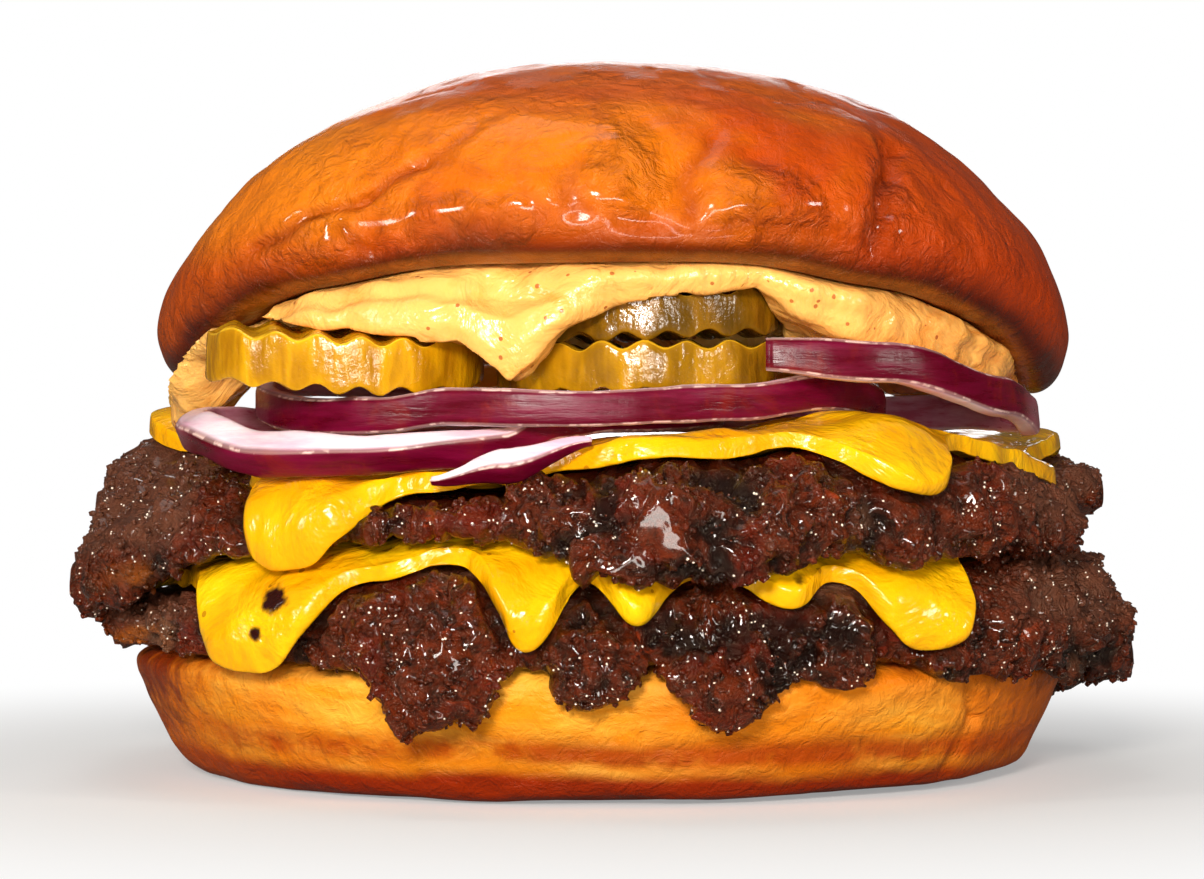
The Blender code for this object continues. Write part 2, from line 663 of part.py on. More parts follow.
# Sauce
SAUCE_REACH = ((-180, 43), (-120, 44), (-104, 47.5), (-88, 50.2), (-74, 49.0), (-60, 48.6),
               (-40, 49.6), (-20, 49.6), (-8, 48.8), (2, 46.2), (20, 46.2), (30, 49.0),
               (50, 48.8), (80, 47.4), (120, 44))
SAUCE_UNDER = ((-180, 44.2), (-120, 44.6), (-100, 44.4), (-62, 46.8), (-40, 47.4), (-10, 47.4),
               (0, 51.5), (20, 53.4), (28, 49.0), (40, 46.2), (54, 44.4), (70, 43.0),
               (88, 41.8), (104, 42.8), (140, 43.6))
SAUCE_DRIPS = ((-14.0, 3.0, -4.2), (-86.0, 11.0, -7.6))
SAUCE_CENTRE = 46.8
SAUCE_GAP = 0.9


def sauce_profile(degrees):
    """Slab of sauce between the crown's cut face and the toppings."""
    inner_r = eased(CROWN_REACH, degrees) - CROWN_LIP_TUCK
    reach = eased(SAUCE_REACH, degrees) - CROWN_CENTRE_X * math.sin(math.radians(degrees))
    ceiling = crown_ceiling(degrees)[::-1]
    radii = [r for r, _ in ceiling]
    heights = [z - SAUCE_GAP for _, z in ceiling]
    brow_r = min(reach - 0.8, inner_r - CROWN_LIP_STEP - 1.6)
    brow = float(np.interp(brow_r, radii, heights))
    under = min(shaped(SAUCE_UNDER, SAUCE_DRIPS, degrees), brow - 1.2)
    return list(zip(radii[:-1], heights[:-1])) + [
        (brow_r, brow - 0.3), (reach - 0.2, brow - 0.45 * (brow - under)),
        (reach, under + 0.25 * (brow - under)), (reach - 1.0, under),
        (reach - 4.0, under + 0.3), (0.8 * reach, max(under, SAUCE_CENTRE)),
        (0.0, SAUCE_CENTRE)]


def make_sauce(mat):
    """Slab of sauce, cut clear of the pickles and the onion that lie in it."""
    angles = even_angles(BUN_SIDES)
    sauce = shifted(from_profiles("sauce", angles, [sauce_profile(a) for a in angles], mat))
    cutters = []
    for name, size in PICKLES.items():
        points, faces = disc_mesh(size["radius"] + GAP, size["thick"] + 2 * (RIDGE_DEPTH + GAP))
        cutters.append(add_object(name + "_cutter", place_pickle(points, size), faces, mat))
    for name in ("onion_ring_right",):
        cutters.append(make_ring(name + "_cutter", RINGS[name], mat, grow=GAP))
    for cutter in cutters:
        cutter.hide_render = True
        cutter.display_type = 'WIRE'
        cut = sauce.modifiers.new(cutter.name, 'BOOLEAN')
        cut.operation = 'DIFFERENCE'
        cut.object = cutter
    return sauce


def build():
    for obj in list(bpy.data.objects):
        bpy.data.objects.remove(obj)
    crust = material("brioche crust", (0.62, 0.21, 0.03), 0.35)
    heel = material("brioche heel", (0.78, 0.4, 0.1), 0.5)
    meat = material("seared beef", (0.07, 0.02, 0.01), 0.4)
    cheese = material("melted cheese", (0.95, 0.55, 0.01), 0.3)
    onion = material("red onion", (0.25, 0.0, 0.07), 0.25)
    pickle = material("pickle", (0.4, 0.33, 0.01), 0.3)
    sauce = material("burger sauce", (0.95, 0.63, 0.25), 0.3)

    make_heel(heel)
    angles = layer_angles()
    lower = [lower_top(a) for a in angles]
    upper = [upper_top(a) for a in angles]
    lower_ends = [shaped(LOWER_CHEESE_END, LOWER_CHEESE_DRIPS, a) for a in angles]
    upper_ends = [shaped(UPPER_CHEESE_END, UPPER_CHEESE_DRIPS, a) for a in angles]
    heel_beds = [offset(heel_profile(a), HEEL_GAP) for a in angles]
    upper_beds = [offset(hanging(t[0]), eased(LAYER_GAP, a) + CHEESE_THICK + LAYER_ROOM)
                  for a, t in zip(angles, lower)]
    make_patty("patty_lower", angles, lower, heel_beds, HEEL_CORNERS, lower_ends, 2.0, meat)
    make_cheese("cheese_lower", angles, lower, lower_ends, LOWER_CHEESE_DRIPS, cheese)
    make_patty("patty_upper", angles, upper, upper_beds, len(TOP_SHARES), upper_ends, 7.0, meat)
    make_cheese("cheese_upper", angles, upper, upper_ends, UPPER_CHEESE_DRIPS, cheese)
    for name, size in RINGS.items():
        make_ring(name, size, onion)
    for name, size in PICKLES.items():
        make_pickle(name, size, pickle)
    make_sauce(sauce)
    make_crown(crust)


build()
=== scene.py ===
"""Dresses the frame of a double cheeseburger and sets its studio.

Every piece is made from the frame's own solid or from the same named sizes as that solid.
Sizes inside the makers are in millimetres and are scaled by MM when a mesh is written.
The burger's front faces -Y, up is +Z, and its axis is the Z axis.
"""
import itertools
import math

import bmesh
import bpy
import numpy as np
from mathutils import Euler, Matrix, Vector
from mathutils.bvhtree import BVHTree


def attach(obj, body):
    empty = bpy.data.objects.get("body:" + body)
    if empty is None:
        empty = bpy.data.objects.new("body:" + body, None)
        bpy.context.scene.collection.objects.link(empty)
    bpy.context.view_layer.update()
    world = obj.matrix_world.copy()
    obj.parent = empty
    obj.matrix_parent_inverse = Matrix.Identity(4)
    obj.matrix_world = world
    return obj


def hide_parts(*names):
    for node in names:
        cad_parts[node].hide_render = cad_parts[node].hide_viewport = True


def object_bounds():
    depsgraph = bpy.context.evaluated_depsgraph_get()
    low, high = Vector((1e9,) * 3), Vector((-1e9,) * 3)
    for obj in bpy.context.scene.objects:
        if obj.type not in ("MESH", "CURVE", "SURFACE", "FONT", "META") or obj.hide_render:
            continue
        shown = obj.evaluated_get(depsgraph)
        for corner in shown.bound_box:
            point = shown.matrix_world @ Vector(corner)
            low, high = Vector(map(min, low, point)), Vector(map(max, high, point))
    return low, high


bl_info = {
    "name": "Double cheeseburger",
    "version": (1, 0, 0),
    "blender": (4, 5, 0),
    "location": "View3D > Sidebar > Burger",
    "description": "Dresses the frame of a double cheeseburger and sets its studio",
    "category": "Add Mesh",
}

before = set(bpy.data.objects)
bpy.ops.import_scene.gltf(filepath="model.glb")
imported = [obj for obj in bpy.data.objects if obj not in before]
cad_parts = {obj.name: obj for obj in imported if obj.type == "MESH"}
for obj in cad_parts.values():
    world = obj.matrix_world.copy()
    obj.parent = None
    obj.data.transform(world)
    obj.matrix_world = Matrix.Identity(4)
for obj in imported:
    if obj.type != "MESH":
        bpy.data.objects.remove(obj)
CAD_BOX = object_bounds()
MM = 0.001
BOX_EDGE = 0.3


# Noise on arrays of points

def hashed(cells, seed):
    """Repeatable value between 0 and 1 for each whole-number cell."""
    x, y, z = (cells[:, k].astype(np.int64) for k in range(3))
    mixed = (x * 73856093) ^ (y * 19349663) ^ (z * 83492791) ^ (seed * 26544357 + 97)
    mixed = ((mixed ^ (mixed >> 13)) * 1274126177) & 0x7FFFFFFF
    mixed = ((mixed ^ (mixed >> 11)) * 69069) & 0x7FFFFFFF
    return (mixed >> 8) / float(0x7FFFFF)


def lumps(points, size, seed):
    """Smooth noise between -1 and 1, with lumps about as large as size."""
    place = points / size
    cell = np.floor(place).astype(np.int64)
    part = place - cell
    part = part * part * part * (part * (part * 6 - 15) + 10)
    total = np.zeros(len(points))
    for corner in itertools.product((0, 1), repeat=3):
        weight = np.prod(np.where(np.array(corner) == 1, part, 1 - part), axis=1)
        total += weight * hashed(cell + np.array(corner), seed)
    return 2 * total - 1


def grains(points, size, seed):
    """Distance to the nearest of scattered seeds: 0 in the middle of a grain, 1 far off."""
    place = points / size
    cell = np.floor(place).astype(np.int64)
    nearest = np.full(len(points), 9.0)
    for corner in itertools.product((-1, 0, 1), repeat=3):
        near = cell + np.array(corner)
        jitter = np.stack([hashed(near, seed + k) for k in range(3)], axis=1)
        nearest = np.minimum(nearest, np.sum((place - near - jitter) ** 2, axis=1))
    return np.minimum(np.sqrt(nearest), 1.0)


def step_up(values, low, high):
    """Smooth step from 0 at low to 1 at high."""
    t = np.clip((values - low) / (high - low), 0.0, 1.0)
    return t * t * (3 - 2 * t)


def eased(keys, degrees):
    """Value at an angle, eased between the nearest of the (angle, value) keys."""
    for (a0, v0), (a1, v1) in zip(keys, keys[1:] + ((keys[0][0] + 360.0, keys[0][1]),)):
        along = (degrees - a0) % 360.0
        if along <= a1 - a0:
            t = along / (a1 - a0)
            return v0 + (v1 - v0) * t * t * (3.0 - 2.0 * t)
    return keys[0][1]


# Meshes

def points_of(obj):
    """Vertices of a mesh in millimetres."""
    flat = np.empty(3 * len(obj.data.vertices))
    obj.data.vertices.foreach_get("co", flat)
    return flat.reshape(-1, 3) / MM


def normals_of(obj):
    flat = np.empty(3 * len(obj.data.vertices))
    obj.data.vertices.foreach_get("normal", flat)
    return flat.reshape(-1, 3)


def place_points(obj, points):
    """Write vertices in millimetres, drawn in softly where they would leave the frame's box."""
    low = np.array(CAD_BOX[0]) / MM
    high = np.array(CAD_BOX[1]) / MM
    for axis in range(3):
        for edge, side in ((high[axis], 1), (low[axis], -1)):
            over = side * (points[:, axis] - edge) + BOX_EDGE
            inside = np.where(over > 0, BOX_EDGE * (1 - np.exp(-over / BOX_EDGE)), over)
            points[:, axis] = edge + side * (inside - BOX_EDGE)
    points[:, 2] = np.maximum(points[:, 2], 0.0)
    obj.data.vertices.foreach_set("co", (points * MM).ravel())
    obj.data.update()


def store(obj, name, values):
    """Keep one value for each vertex under a name that a material reads."""
    layer = obj.data.attributes.new(name, 'FLOAT', 'POINT')
    layer.data.foreach_set("value", np.ascontiguousarray(values, dtype=np.float32))


def new_object(name, mesh):
    obj = bpy.data.objects.new(name, mesh)
    bpy.context.scene.collection.objects.link(obj)
    return obj


def from_points(name, points, faces):
    """Object from points in millimetres."""
    mesh = bpy.data.meshes.new(name)
    mesh.from_pydata([tuple(c * MM for c in p) for p in points], [], faces)
    mesh.update()
    return new_object(name, mesh)


def flattened(obj):
    """Apply every modifier and leave a plain mesh."""
    bpy.context.view_layer.update()
    graph = bpy.context.evaluated_depsgraph_get()
    mesh = bpy.data.meshes.new_from_object(obj.evaluated_get(graph))
    obj.modifiers.clear()
    old = obj.data
    obj.data = mesh
    bpy.data.meshes.remove(old)
    mesh.name = obj.name
    return obj


def welded_copy(node, name):
    """Copy of a solid with its loose triangles merged and joined into four-sided faces."""
    shape = bmesh.new()
    shape.from_mesh(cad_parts[node].data)
    bmesh.ops.remove_doubles(shape, verts=shape.verts, dist=1e-6)
    bmesh.ops.join_triangles(shape, faces=shape.faces, angle_face_threshold=1.2,
                             angle_shape_threshold=1.2)
    mesh = bpy.data.meshes.new(name)
    shape.to_mesh(mesh)
    shape.free()
    return new_object(name, mesh)


def dense_copy(node, name, levels):
    """Smooth copy of a solid, divided again and again."""
    obj = welded_copy(node, name)
    divide = obj.modifiers.new("Subdivision", 'SUBSURF')
    divide.levels = levels
    divide.render_levels = levels
    return flattened(obj)


def voxel_copy(node, name, size, passes):
    """Copy of a solid rebuilt from small cells and smoothed, for a shape with cut-outs."""
    obj = welded_copy(node, name)
    cells = obj.modifiers.new("Remesh", 'REMESH')
    cells.mode = 'VOXEL'
    cells.voxel_size = size * MM
    smooth = obj.modifiers.new("Smooth", 'SMOOTH')
    smooth.factor = 0.5
    smooth.iterations = passes
    return flattened(obj)


def room_to(points, nodes):
    """Distance in millimetres from each point to the nearest of some solids."""
    nearest = np.full(len(points), 50.0)
    for node in nodes:
        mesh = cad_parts[node].data
        tree = BVHTree.FromPolygons([v.co for v in mesh.vertices],
                                    [tuple(p.vertices) for p in mesh.polygons])
        for i, point in enumerate(points * MM):
            hit = tree.find_nearest(point, nearest[i] * MM)
            if hit[3] is not None:
                nearest[i] = min(nearest[i], hit[3] / MM)
    return nearest


def finish_piece(obj, material, slot, *nodes):
    """Give a piece its finish, attach it to the root and hide the solids it stands for."""
    obj.data.materials.clear()
    obj.data.materials.append(material)
    obj.data.shade_smooth()
    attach(obj, "root")
    if nodes:
        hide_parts(*nodes)
    return obj


# Materials

# Tint of the gloss on bread and meat, whose fat is amber
WARM_GLOSS = (1.0, 0.82, 0.6, 1.0)


def linear(colour):
    """Linear colour from a hex code."""
    parts = [int(colour[i:i + 2], 16) / 255.0 for i in (1, 3, 5)]
    return tuple(c / 12.92 if c <= 0.04045 else ((c + 0.055) / 1.055) ** 2.4
                 for c in parts) + (1.0,)


class Finish:
    """Node tree of one material, with short calls for the nodes it needs."""

    def __init__(self, name, **sockets):
        self.material = bpy.data.materials.new(name)
        self.material.use_nodes = True
        self.tree = self.material.node_tree
        self.shader = self.tree.nodes["Principled BSDF"]
        self.column = -1600
        self.place = self.node("ShaderNodeTexCoord").outputs["Object"]
        for socket, value in sockets.items():
            self.shader.inputs[socket.replace("_", " ")].default_value = value

    def node(self, kind, **settings):
        made = self.tree.nodes.new(kind)
        self.column += 40
        made.location = (self.column, -200 * (len(self.tree.nodes) % 5))
        for setting, value in settings.items():
            setattr(made, setting, value)
        return made

    def feed(self, socket, value):
        """Link a socket to another, or set its value."""
        if isinstance(value, bpy.types.NodeSocket):
            self.tree.links.new(value, socket)
        elif isinstance(value, str):
            socket.default_value = linear(value)
        else:
            socket.default_value = value

    def stretched(self, scale):
        """Object coordinates stretched along the axes."""
        mapping = self.node("ShaderNodeMapping")
        self.feed(mapping.inputs["Vector"], self.place)
        mapping.inputs["Scale"].default_value = scale
        return mapping.outputs["Vector"]

    def noise(self, scale, detail=4.0, roughness=0.6, distortion=0.0, vector=None):
        made = self.node("ShaderNodeTexNoise")
        self.feed(made.inputs["Vector"], vector or self.place)
        made.inputs["Scale"].default_value = scale
        made.inputs["Detail"].default_value = detail
        made.inputs["Roughness"].default_value = roughness
        made.inputs["Distortion"].default_value = distortion
        return made.outputs["Fac"]

    def attribute(self, name):
        return self.node("ShaderNodeAttribute", attribute_name=name).outputs["Fac"]

    def axis(self, name):
        """One of the object's coordinates, in metres."""
        split = self.node("ShaderNodeSeparateXYZ")
        self.feed(split.inputs[0], self.place)
        return split.outputs[name]

    def remap(self, value, low, high, to_low=0.0, to_high=1.0):
        made = self.node("ShaderNodeMapRange", interpolation_type='SMOOTHSTEP')
        self.feed(made.inputs["Value"], value)
        made.inputs["From Min"].default_value = low
        made.inputs["From Max"].default_value = high
        made.inputs["To Min"].default_value = to_low
        made.inputs["To Max"].default_value = to_high
        return made.outputs["Result"]

    def maths(self, operation, first, second=0.0):
        made = self.node("ShaderNodeMath", operation=operation)
        self.feed(made.inputs[0], first)
        self.feed(made.inputs[1], second)
        return made.outputs[0]

    def near(self, x, y, z, inner, outer):
        """Mask that is 1 near a place in millimetres and 0 past the outer distance."""
        away = self.node("ShaderNodeVectorMath", operation='DISTANCE')
        self.feed(away.inputs[0], self.stretched((1.0, 0.25, 1.0)))
        away.inputs[1].default_value = (x * MM, 0.25 * y * MM, z * MM)
        ragged = self.maths('MULTIPLY', self.maths('SUBTRACT', self.noise(500, 3), 0.5),
                            1.2 * outer * MM)
        reach = self.maths('ADD', away.outputs["Value"], ragged)
        return self.remap(reach, inner * MM, outer * MM, 1.0, 0.0)

    def mix(self, factor, first, second):
        """Blend two colours, given as sockets or hex codes."""
        made = self.node("ShaderNodeMix", data_type='RGBA')
        self.feed(made.inputs[0], factor)
        self.feed(made.inputs[6], first)
        self.feed(made.inputs[7], second)
        return made.outputs[2]

    def group(self, tree, **values):
        """One of the shared effects, set with its own values."""
        made = self.node("ShaderNodeGroup", node_tree=tree)
        self.feed(made.inputs["Vector"], self.place)
        for name, value in values.items():
            self.feed(made.inputs[name], value)
        return made.outputs[0]

    def bump(self, height, distance, strength=1.0, under=None):
        made = self.node("ShaderNodeBump")
        made.inputs["Strength"].default_value = strength
        made.inputs["Distance"].default_value = distance * MM
        self.feed(made.inputs["Height"], height)
        if under is not None:
            self.feed(made.inputs["Normal"], under)
        return made.outputs["Normal"]

    def done(self, colour, roughness, normal):
        self.feed(self.shader.inputs["Base Color"], colour)
        self.feed(self.shader.inputs["Roughness"], roughness)
        self.feed(self.shader.inputs["Normal"], normal)
        return self.material


def effect_group(name, scale, output):
    """Empty shader group with a vector, a scale and one output."""
    tree = bpy.data.node_groups.new(name, "ShaderNodeTree")
    tree.interface.new_socket("Vector", in_out='INPUT', socket_type='NodeSocketVector')
    size = tree.interface.new_socket("Scale", in_out='INPUT', socket_type='NodeSocketFloat')
    size.default_value = scale
    tree.interface.new_socket(output, in_out='OUTPUT', socket_type='NodeSocketFloat')
    return tree, tree.nodes.new("NodeGroupInput"), tree.nodes.new("NodeGroupOutput")


def skin_effect():
    """Fine wrinkled skin: drawn-out noise over a net of tiny creases."""
    if "Wrinkled skin" in bpy.data.node_groups:
        return bpy.data.node_groups["Wrinkled skin"]
    tree, given, result = effect_group("Wrinkled skin", 300.0, "Height")
    noise = tree.nodes.new("ShaderNodeTexNoise")
    noise.inputs["Detail"].default_value = 5.0
    noise.inputs["Roughness"].default_value = 0.62
    noise.inputs["Distortion"].default_value = 1.3
    cells = tree.nodes.new("ShaderNodeTexVoronoi")
    cells.feature = 'SMOOTH_F1'
    add = tree.nodes.new("ShaderNodeMath")
    add.operation = 'MULTIPLY_ADD'
    add.inputs[1].default_value = 0.55
    for made in (noise, cells):
        tree.links.new(given.outputs["Vector"], made.inputs["Vector"])
        tree.links.new(given.outputs["Scale"], made.inputs["Scale"])
    tree.links.new(cells.outputs["Distance"], add.inputs[0])
    tree.links.new(noise.outputs["Fac"], add.inputs[2])
    tree.links.new(add.outputs[0], result.inputs[0])
    return tree


def speck_effect():
    """Small round specks on a clear ground: 1 in a speck."""
    if "Specks" in bpy.data.node_groups:
        return bpy.data.node_groups["Specks"]
    tree, given, result = effect_group("Specks", 400.0, "Mask")
    amount = tree.interface.new_socket("Amount", in_out='INPUT', socket_type='NodeSocketFloat')
    amount.default_value = 0.2
    cells = tree.nodes.new("ShaderNodeTexVoronoi")
    tree.links.new(given.outputs["Vector"], cells.inputs["Vector"])
    tree.links.new(given.outputs["Scale"], cells.inputs["Scale"])
    less = tree.nodes.new("ShaderNodeMath")
    less.operation = 'LESS_THAN'
    tree.links.new(cells.outputs["Distance"], less.inputs[0])
    tree.links.new(given.outputs["Amount"], less.inputs[1])
    tree.links.new(less.outputs[0], result.inputs[0])
    return tree


def crust_finish(colours):
    """Glossy egg-washed crust, orange brown, darker towards the lip, with painted shade where
    it faces down, along the creases and on the right, and a duller, pinkish top that is painted
    sheen.
    """
    f = Finish("crown crust", Specular_IOR_Level=0.28, Specular_Tint=WARM_GLOSS,
               Coat_Roughness=0.1)
    patches = f.remap(f.noise(26, 3, 0.55, 0.6), 0.4, 0.66)
    mottle = f.remap(f.noise(150, 6, 0.7, 0.8), 0.42, 0.72)
    colour = f.mix(patches, colours.crust, colours.crust_light)
    colour = f.mix(f.maths('MULTIPLY', mottle, 0.45), colour, colours.crust_deep)
    # Painted shade: the right of the crown darkens towards its edge.
    colour = f.mix(f.remap(f.axis("X"), 0.02, 0.05, 0.0, 0.75), colour, "#b23c06")
    colour = f.mix(f.remap(f.axis("X"), -0.034, -0.02, 0.6, 0.0), colour, "#f08a14")
    low = f.remap(f.axis("Z"), 0.055, 0.0625, 0.8, 0.0)
    colour = f.mix(low, colour, "#a83404")
    # Painted sheen: the top of the crown is made duller and pinkish.
    colour = f.mix(f.remap(f.axis("Z"), 0.071, 0.081, 0.0, 0.7), colour, "#c05a24")
    # Painted shade: darker crust along the creases.
    colour = f.mix(f.attribute("crease"), colour, "#8a2a04")
    # Painted shade: very dark crust where it faces down at its lower edge.
    colour = f.mix(f.attribute("lip"), colour, "#4c1003")
    colour = f.mix(f.attribute("toast"), colour,
                   f.mix(f.noise(320, 4), "#4a1804", "#b0601c"))
    skin = f.group(skin_effect(), Scale=420.0)
    wet = f.attribute("wet")
    wrinkled = f.remap(f.noise(45, 3, 0.5, 0.5), 0.36, 0.58, 0.25, 0.8)
    wrinkled = f.maths('ADD', wrinkled, wet)
    fine = f.noise(1100, 4, 0.7, 0.6)
    height = f.maths('MULTIPLY', skin, wrinkled)
    normal = f.bump(height, 1.1, 0.9, f.bump(fine, 0.25, 0.7))
    rough = f.remap(skin, 0.3, 1.0, 0.24, 0.4)
    rough = f.maths('SUBTRACT', rough, f.maths('MULTIPLY', wet, 0.15))
    f.feed(f.shader.inputs["Coat Weight"], f.maths('ADD', f.maths('MULTIPLY', wet, 0.4), 0.14))
    return f.done(colour, rough, normal)


def heel_finish():
    """Matte golden side with a browned band, a paler base and a stained top edge; painted shade
    darkens its left and right and its top edge under the patty's left rim.
    """
    f = Finish("heel crumb", Specular_IOR_Level=0.25, Specular_Tint=WARM_GLOSS)
    height = f.axis("Z")
    wander = f.maths('MULTIPLY', f.maths('SUBTRACT', f.noise(30, 4, 0.6), 0.5), 0.006)
    level = f.maths('ADD', height, wander)
    fibres = f.noise(70, 5, 0.7, 0.4, vector=f.stretched((1.0, 1.0, 3.5)))
    colour = f.mix(f.remap(fibres, 0.35, 0.7), "#f09414", "#ffbe42")
    colour = f.mix(f.remap(f.noise(24, 3), 0.42, 0.62, 0.0, 0.7), colour, "#d9680a")
    low = f.remap(level, 0.002, 0.005, 1.0, 0.0)
    colour = f.mix(low, colour, "#8a2402")
    band_low = f.remap(level, 0.0032, 0.005)
    band_high = f.remap(level, 0.0058, 0.0084, 1.0, 0.0)
    band = f.maths('MULTIPLY', band_low, band_high)
    band = f.maths('MULTIPLY', band, f.remap(f.noise(60, 5, 0.7), 0.3, 0.6, 0.25, 0.95))
    colour = f.mix(band, colour, "#a03a05")
    stain = f.maths('MULTIPLY', f.remap(height, 0.0118, 0.0146),
                    f.remap(f.noise(130, 4), 0.35, 0.62))
    colour = f.mix(stain, colour, "#8c2a08")
    # Painted shade: the heel's left and right are darkened.
    sides = f.remap(f.maths('ABSOLUTE', f.axis("X")), 0.03, 0.052, 0.0, 0.8)
    colour = f.mix(sides, colour, "#c05206")
    # Painted shade: darker and patchy on the heel's top edge under the left edge of the lower
    # patty.
    corner = f.maths('MULTIPLY', f.near(-50.0, -14.0, 12.5, 3.0, 9.0),
                     f.remap(f.noise(160, 4, 0.6, 1.0), 0.36, 0.6, 0.2, 0.9))
    colour = f.mix(corner, colour, "#701c04")
    skin = f.group(skin_effect(), Scale=360.0)
    grain = f.bump(f.noise(1000, 4, 0.7), 0.2, 0.5)
    normal = f.bump(skin, 0.6, 0.8, f.bump(fibres, 0.6, 0.5, grain))
    return f.done(colour, f.remap(fibres, 0.3, 0.8, 0.34, 0.6), normal)


def meat_finish(name, colours, crust):
    """Dark seared beef in char and red brown, wet all over, lighter on the ridges as painted
    light and near black in the recesses as painted shade.
    """
    f = Finish(name, Specular_IOR_Level=0.3, Specular_Tint=WARM_GLOSS, Coat_Weight=0.35,
               Coat_Roughness=0.06)
    broad = f.noise(95, 4, 0.6, 0.5)
    fine = f.noise(460, 6, 0.75, 1.2)
    colour = f.mix(f.remap(fine, 0.4, 0.7), colours.meat_dark, colours.meat)
    # Painted light: the raised crags are lightened to red brown.
    ridge = f.attribute("ridge")
    colour = f.mix(f.maths('MULTIPLY', ridge, f.remap(fine, 0.3, 0.7)), colour, "#6c260c")
    colour = f.mix(f.remap(broad, 0.52, 0.7, 0.0, 0.75), colour, "#6c1a08")
    red = f.remap(f.noise(210, 4, 0.65, 0.8), 0.62, 0.72)
    colour = f.mix(f.maths('MULTIPLY', red, 0.8), colour, "#8e300e")
    tan = f.remap(f.noise(150, 5, 0.7, 0.6), 0.6, 0.74, 0.0, crust)
    colour = f.mix(tan, colour, "#8a4a26")
    # Painted shade: near black in the recesses.
    colour = f.mix(f.remap(ridge, 0.0, 0.45, 0.85, 0.0), colour, "#120403")
    colour = f.mix(f.attribute("pale"), colour, f.mix(fine, "#3a1c10", "#8a5c42"))
    sear = f.attribute("sear")
    colour = f.mix(f.maths('MULTIPLY', sear, 0.85), colour, f.mix(fine, "#3c1a10", "#7c4a34"))
    colour = f.mix(f.attribute("amber"), colour, f.mix(fine, "#7a3208", "#c06a1c"))
    squiggle = f.maths('ABSOLUTE', f.maths('SUBTRACT', f.noise(380, 4, 0.6, 1.6), 0.5))
    height = f.maths('ADD', f.maths('MULTIPLY', squiggle, -2.2), fine)
    normal = f.bump(height, 0.8, 0.8, f.bump(f.noise(1500, 4, 0.7), 0.2, 0.6))
    rough = f.remap(f.noise(520, 3), 0.4, 0.62, 0.1, 0.36)
    rough = f.maths('ADD', rough, f.maths('MULTIPLY', sear, 0.2))
    return f.done(colour, rough, normal)


def cheese_finish(colours):
    """Melted cheese: smooth, glossy, warmer where it is thick."""
    f = Finish("melted cheese", Specular_IOR_Level=0.35, Coat_Weight=0.15,
               Coat_Roughness=0.08, Subsurface_Weight=0.12, Subsurface_Scale=0.004,
               Subsurface_Radius=(1.0, 0.45, 0.05))
    broad = f.noise(60, 5, 0.6, 0.8)
    colour = f.mix(f.remap(broad, 0.35, 0.68), colours.cheese_deep, colours.cheese)
    speck = f.group(speck_effect(), Scale=210.0, Amount=0.075)
    colour = f.mix(f.maths('MULTIPLY', speck, 0.55), colour, "#7a3208")
    smear = f.maths('MULTIPLY', f.remap(f.noise(70, 5, 0.7, 1.5), 0.6, 0.75), 0.5)
    colour = f.mix(smear, colour, "#b86a10")
    holes = f.maths('ADD', f.near(-33.7, -47.0, 21.2, 0.9, 1.9),
                    f.near(-35.8, -47.0, 17.7, 0.5, 1.0))
    holes = f.maths('ADD', holes, f.near(20.2, -55.0, 23.6, 0.5, 1.2))
    colour = f.mix(holes, colour, "#2c0c08")
    soft = f.noise(130, 4, 0.6, 0.6)
    normal = f.bump(soft, 1.3, 0.8, f.bump(f.noise(420, 4, 0.6), 0.22, 0.7))
    return f.done(colour, f.remap(soft, 0.3, 0.7, 0.12, 0.26), normal)


def onion_finish(colours):
    """Purple skin outside, pale flesh on the cut faces, lilac inside."""
    f = Finish("red onion", Specular_IOR_Level=0.22, Subsurface_Weight=0.08,
               Subsurface_Scale=0.002, Subsurface_Radius=(1.0, 0.35, 0.6))
    across = f.attribute("across")
    streaks = f.noise(240, 4, 0.6, vector=f.stretched((0.35, 0.35, 2.6)))
    flesh = f.mix(f.remap(streaks, 0.35, 0.7), "#f6e3ea", "#e7b3c8")
    inner = f.mix(f.remap(streaks, 0.3, 0.7), "#b0506a", "#d9a0b4")
    colour = f.mix(f.remap(across, -0.98, -0.7, 1.0, 0.0), flesh, inner)
    skin = f.mix(f.remap(streaks, 0.3, 0.72), colours.onion, "#70022e")
    skin = f.mix(f.remap(f.noise(140, 5, 0.7, 0.5), 0.5, 0.72, 0.0, 0.7), skin, "#7a1a10")
    colour = f.mix(f.remap(across, 0.5, 0.86), colour, skin)
    # Painted sheen: paler pink where the bands turn away at the far left and right.
    colour = f.mix(f.attribute("worn"), colour, "#c9808c")
    rim = f.attribute("edge")
    dots = f.remap(f.noise(700, 2, 0.5), 0.48, 0.6, 0.25, 0.9)
    colour = f.mix(f.maths('MULTIPLY', rim, dots), colour, "#f2cfc4")
    normal = f.bump(streaks, 0.3, 0.6, f.bump(f.noise(700, 3), 0.08, 0.5))
    return f.done(colour, f.remap(streaks, 0.3, 0.7, 0.24, 0.42), normal)


def pickle_finish(name, skin, face, flesh):
    """Wet pickle: fluted olive rim, paler faces with a seedy middle."""
    f = Finish(name, Specular_IOR_Level=0.5, Subsurface_Weight=0.1,
               Subsurface_Scale=0.003, Subsurface_Radius=(0.8, 0.6, 0.05))
    rim = f.attribute("rim")
    mottle = f.noise(170, 5, 0.65)
    stripes = f.noise(260, 3, 0.6, vector=f.stretched((1.0, 1.0, 0.25)))
    edge = f.mix(f.remap(stripes, 0.38, 0.66), skin, face)
    middle = f.mix(f.remap(mottle, 0.38, 0.66), face, flesh)
    colour = f.mix(rim, middle, edge)
    # Painted highlight: the upper edge of the rim takes the pale flesh colour.
    colour = f.mix(f.attribute("brow"), colour, flesh)
    normal = f.bump(stripes, 0.7, 0.7, f.bump(f.noise(560, 4), 0.3, 0.7))
    return f.done(colour, f.remap(mottle, 0.3, 0.7, 0.1, 0.26), normal)


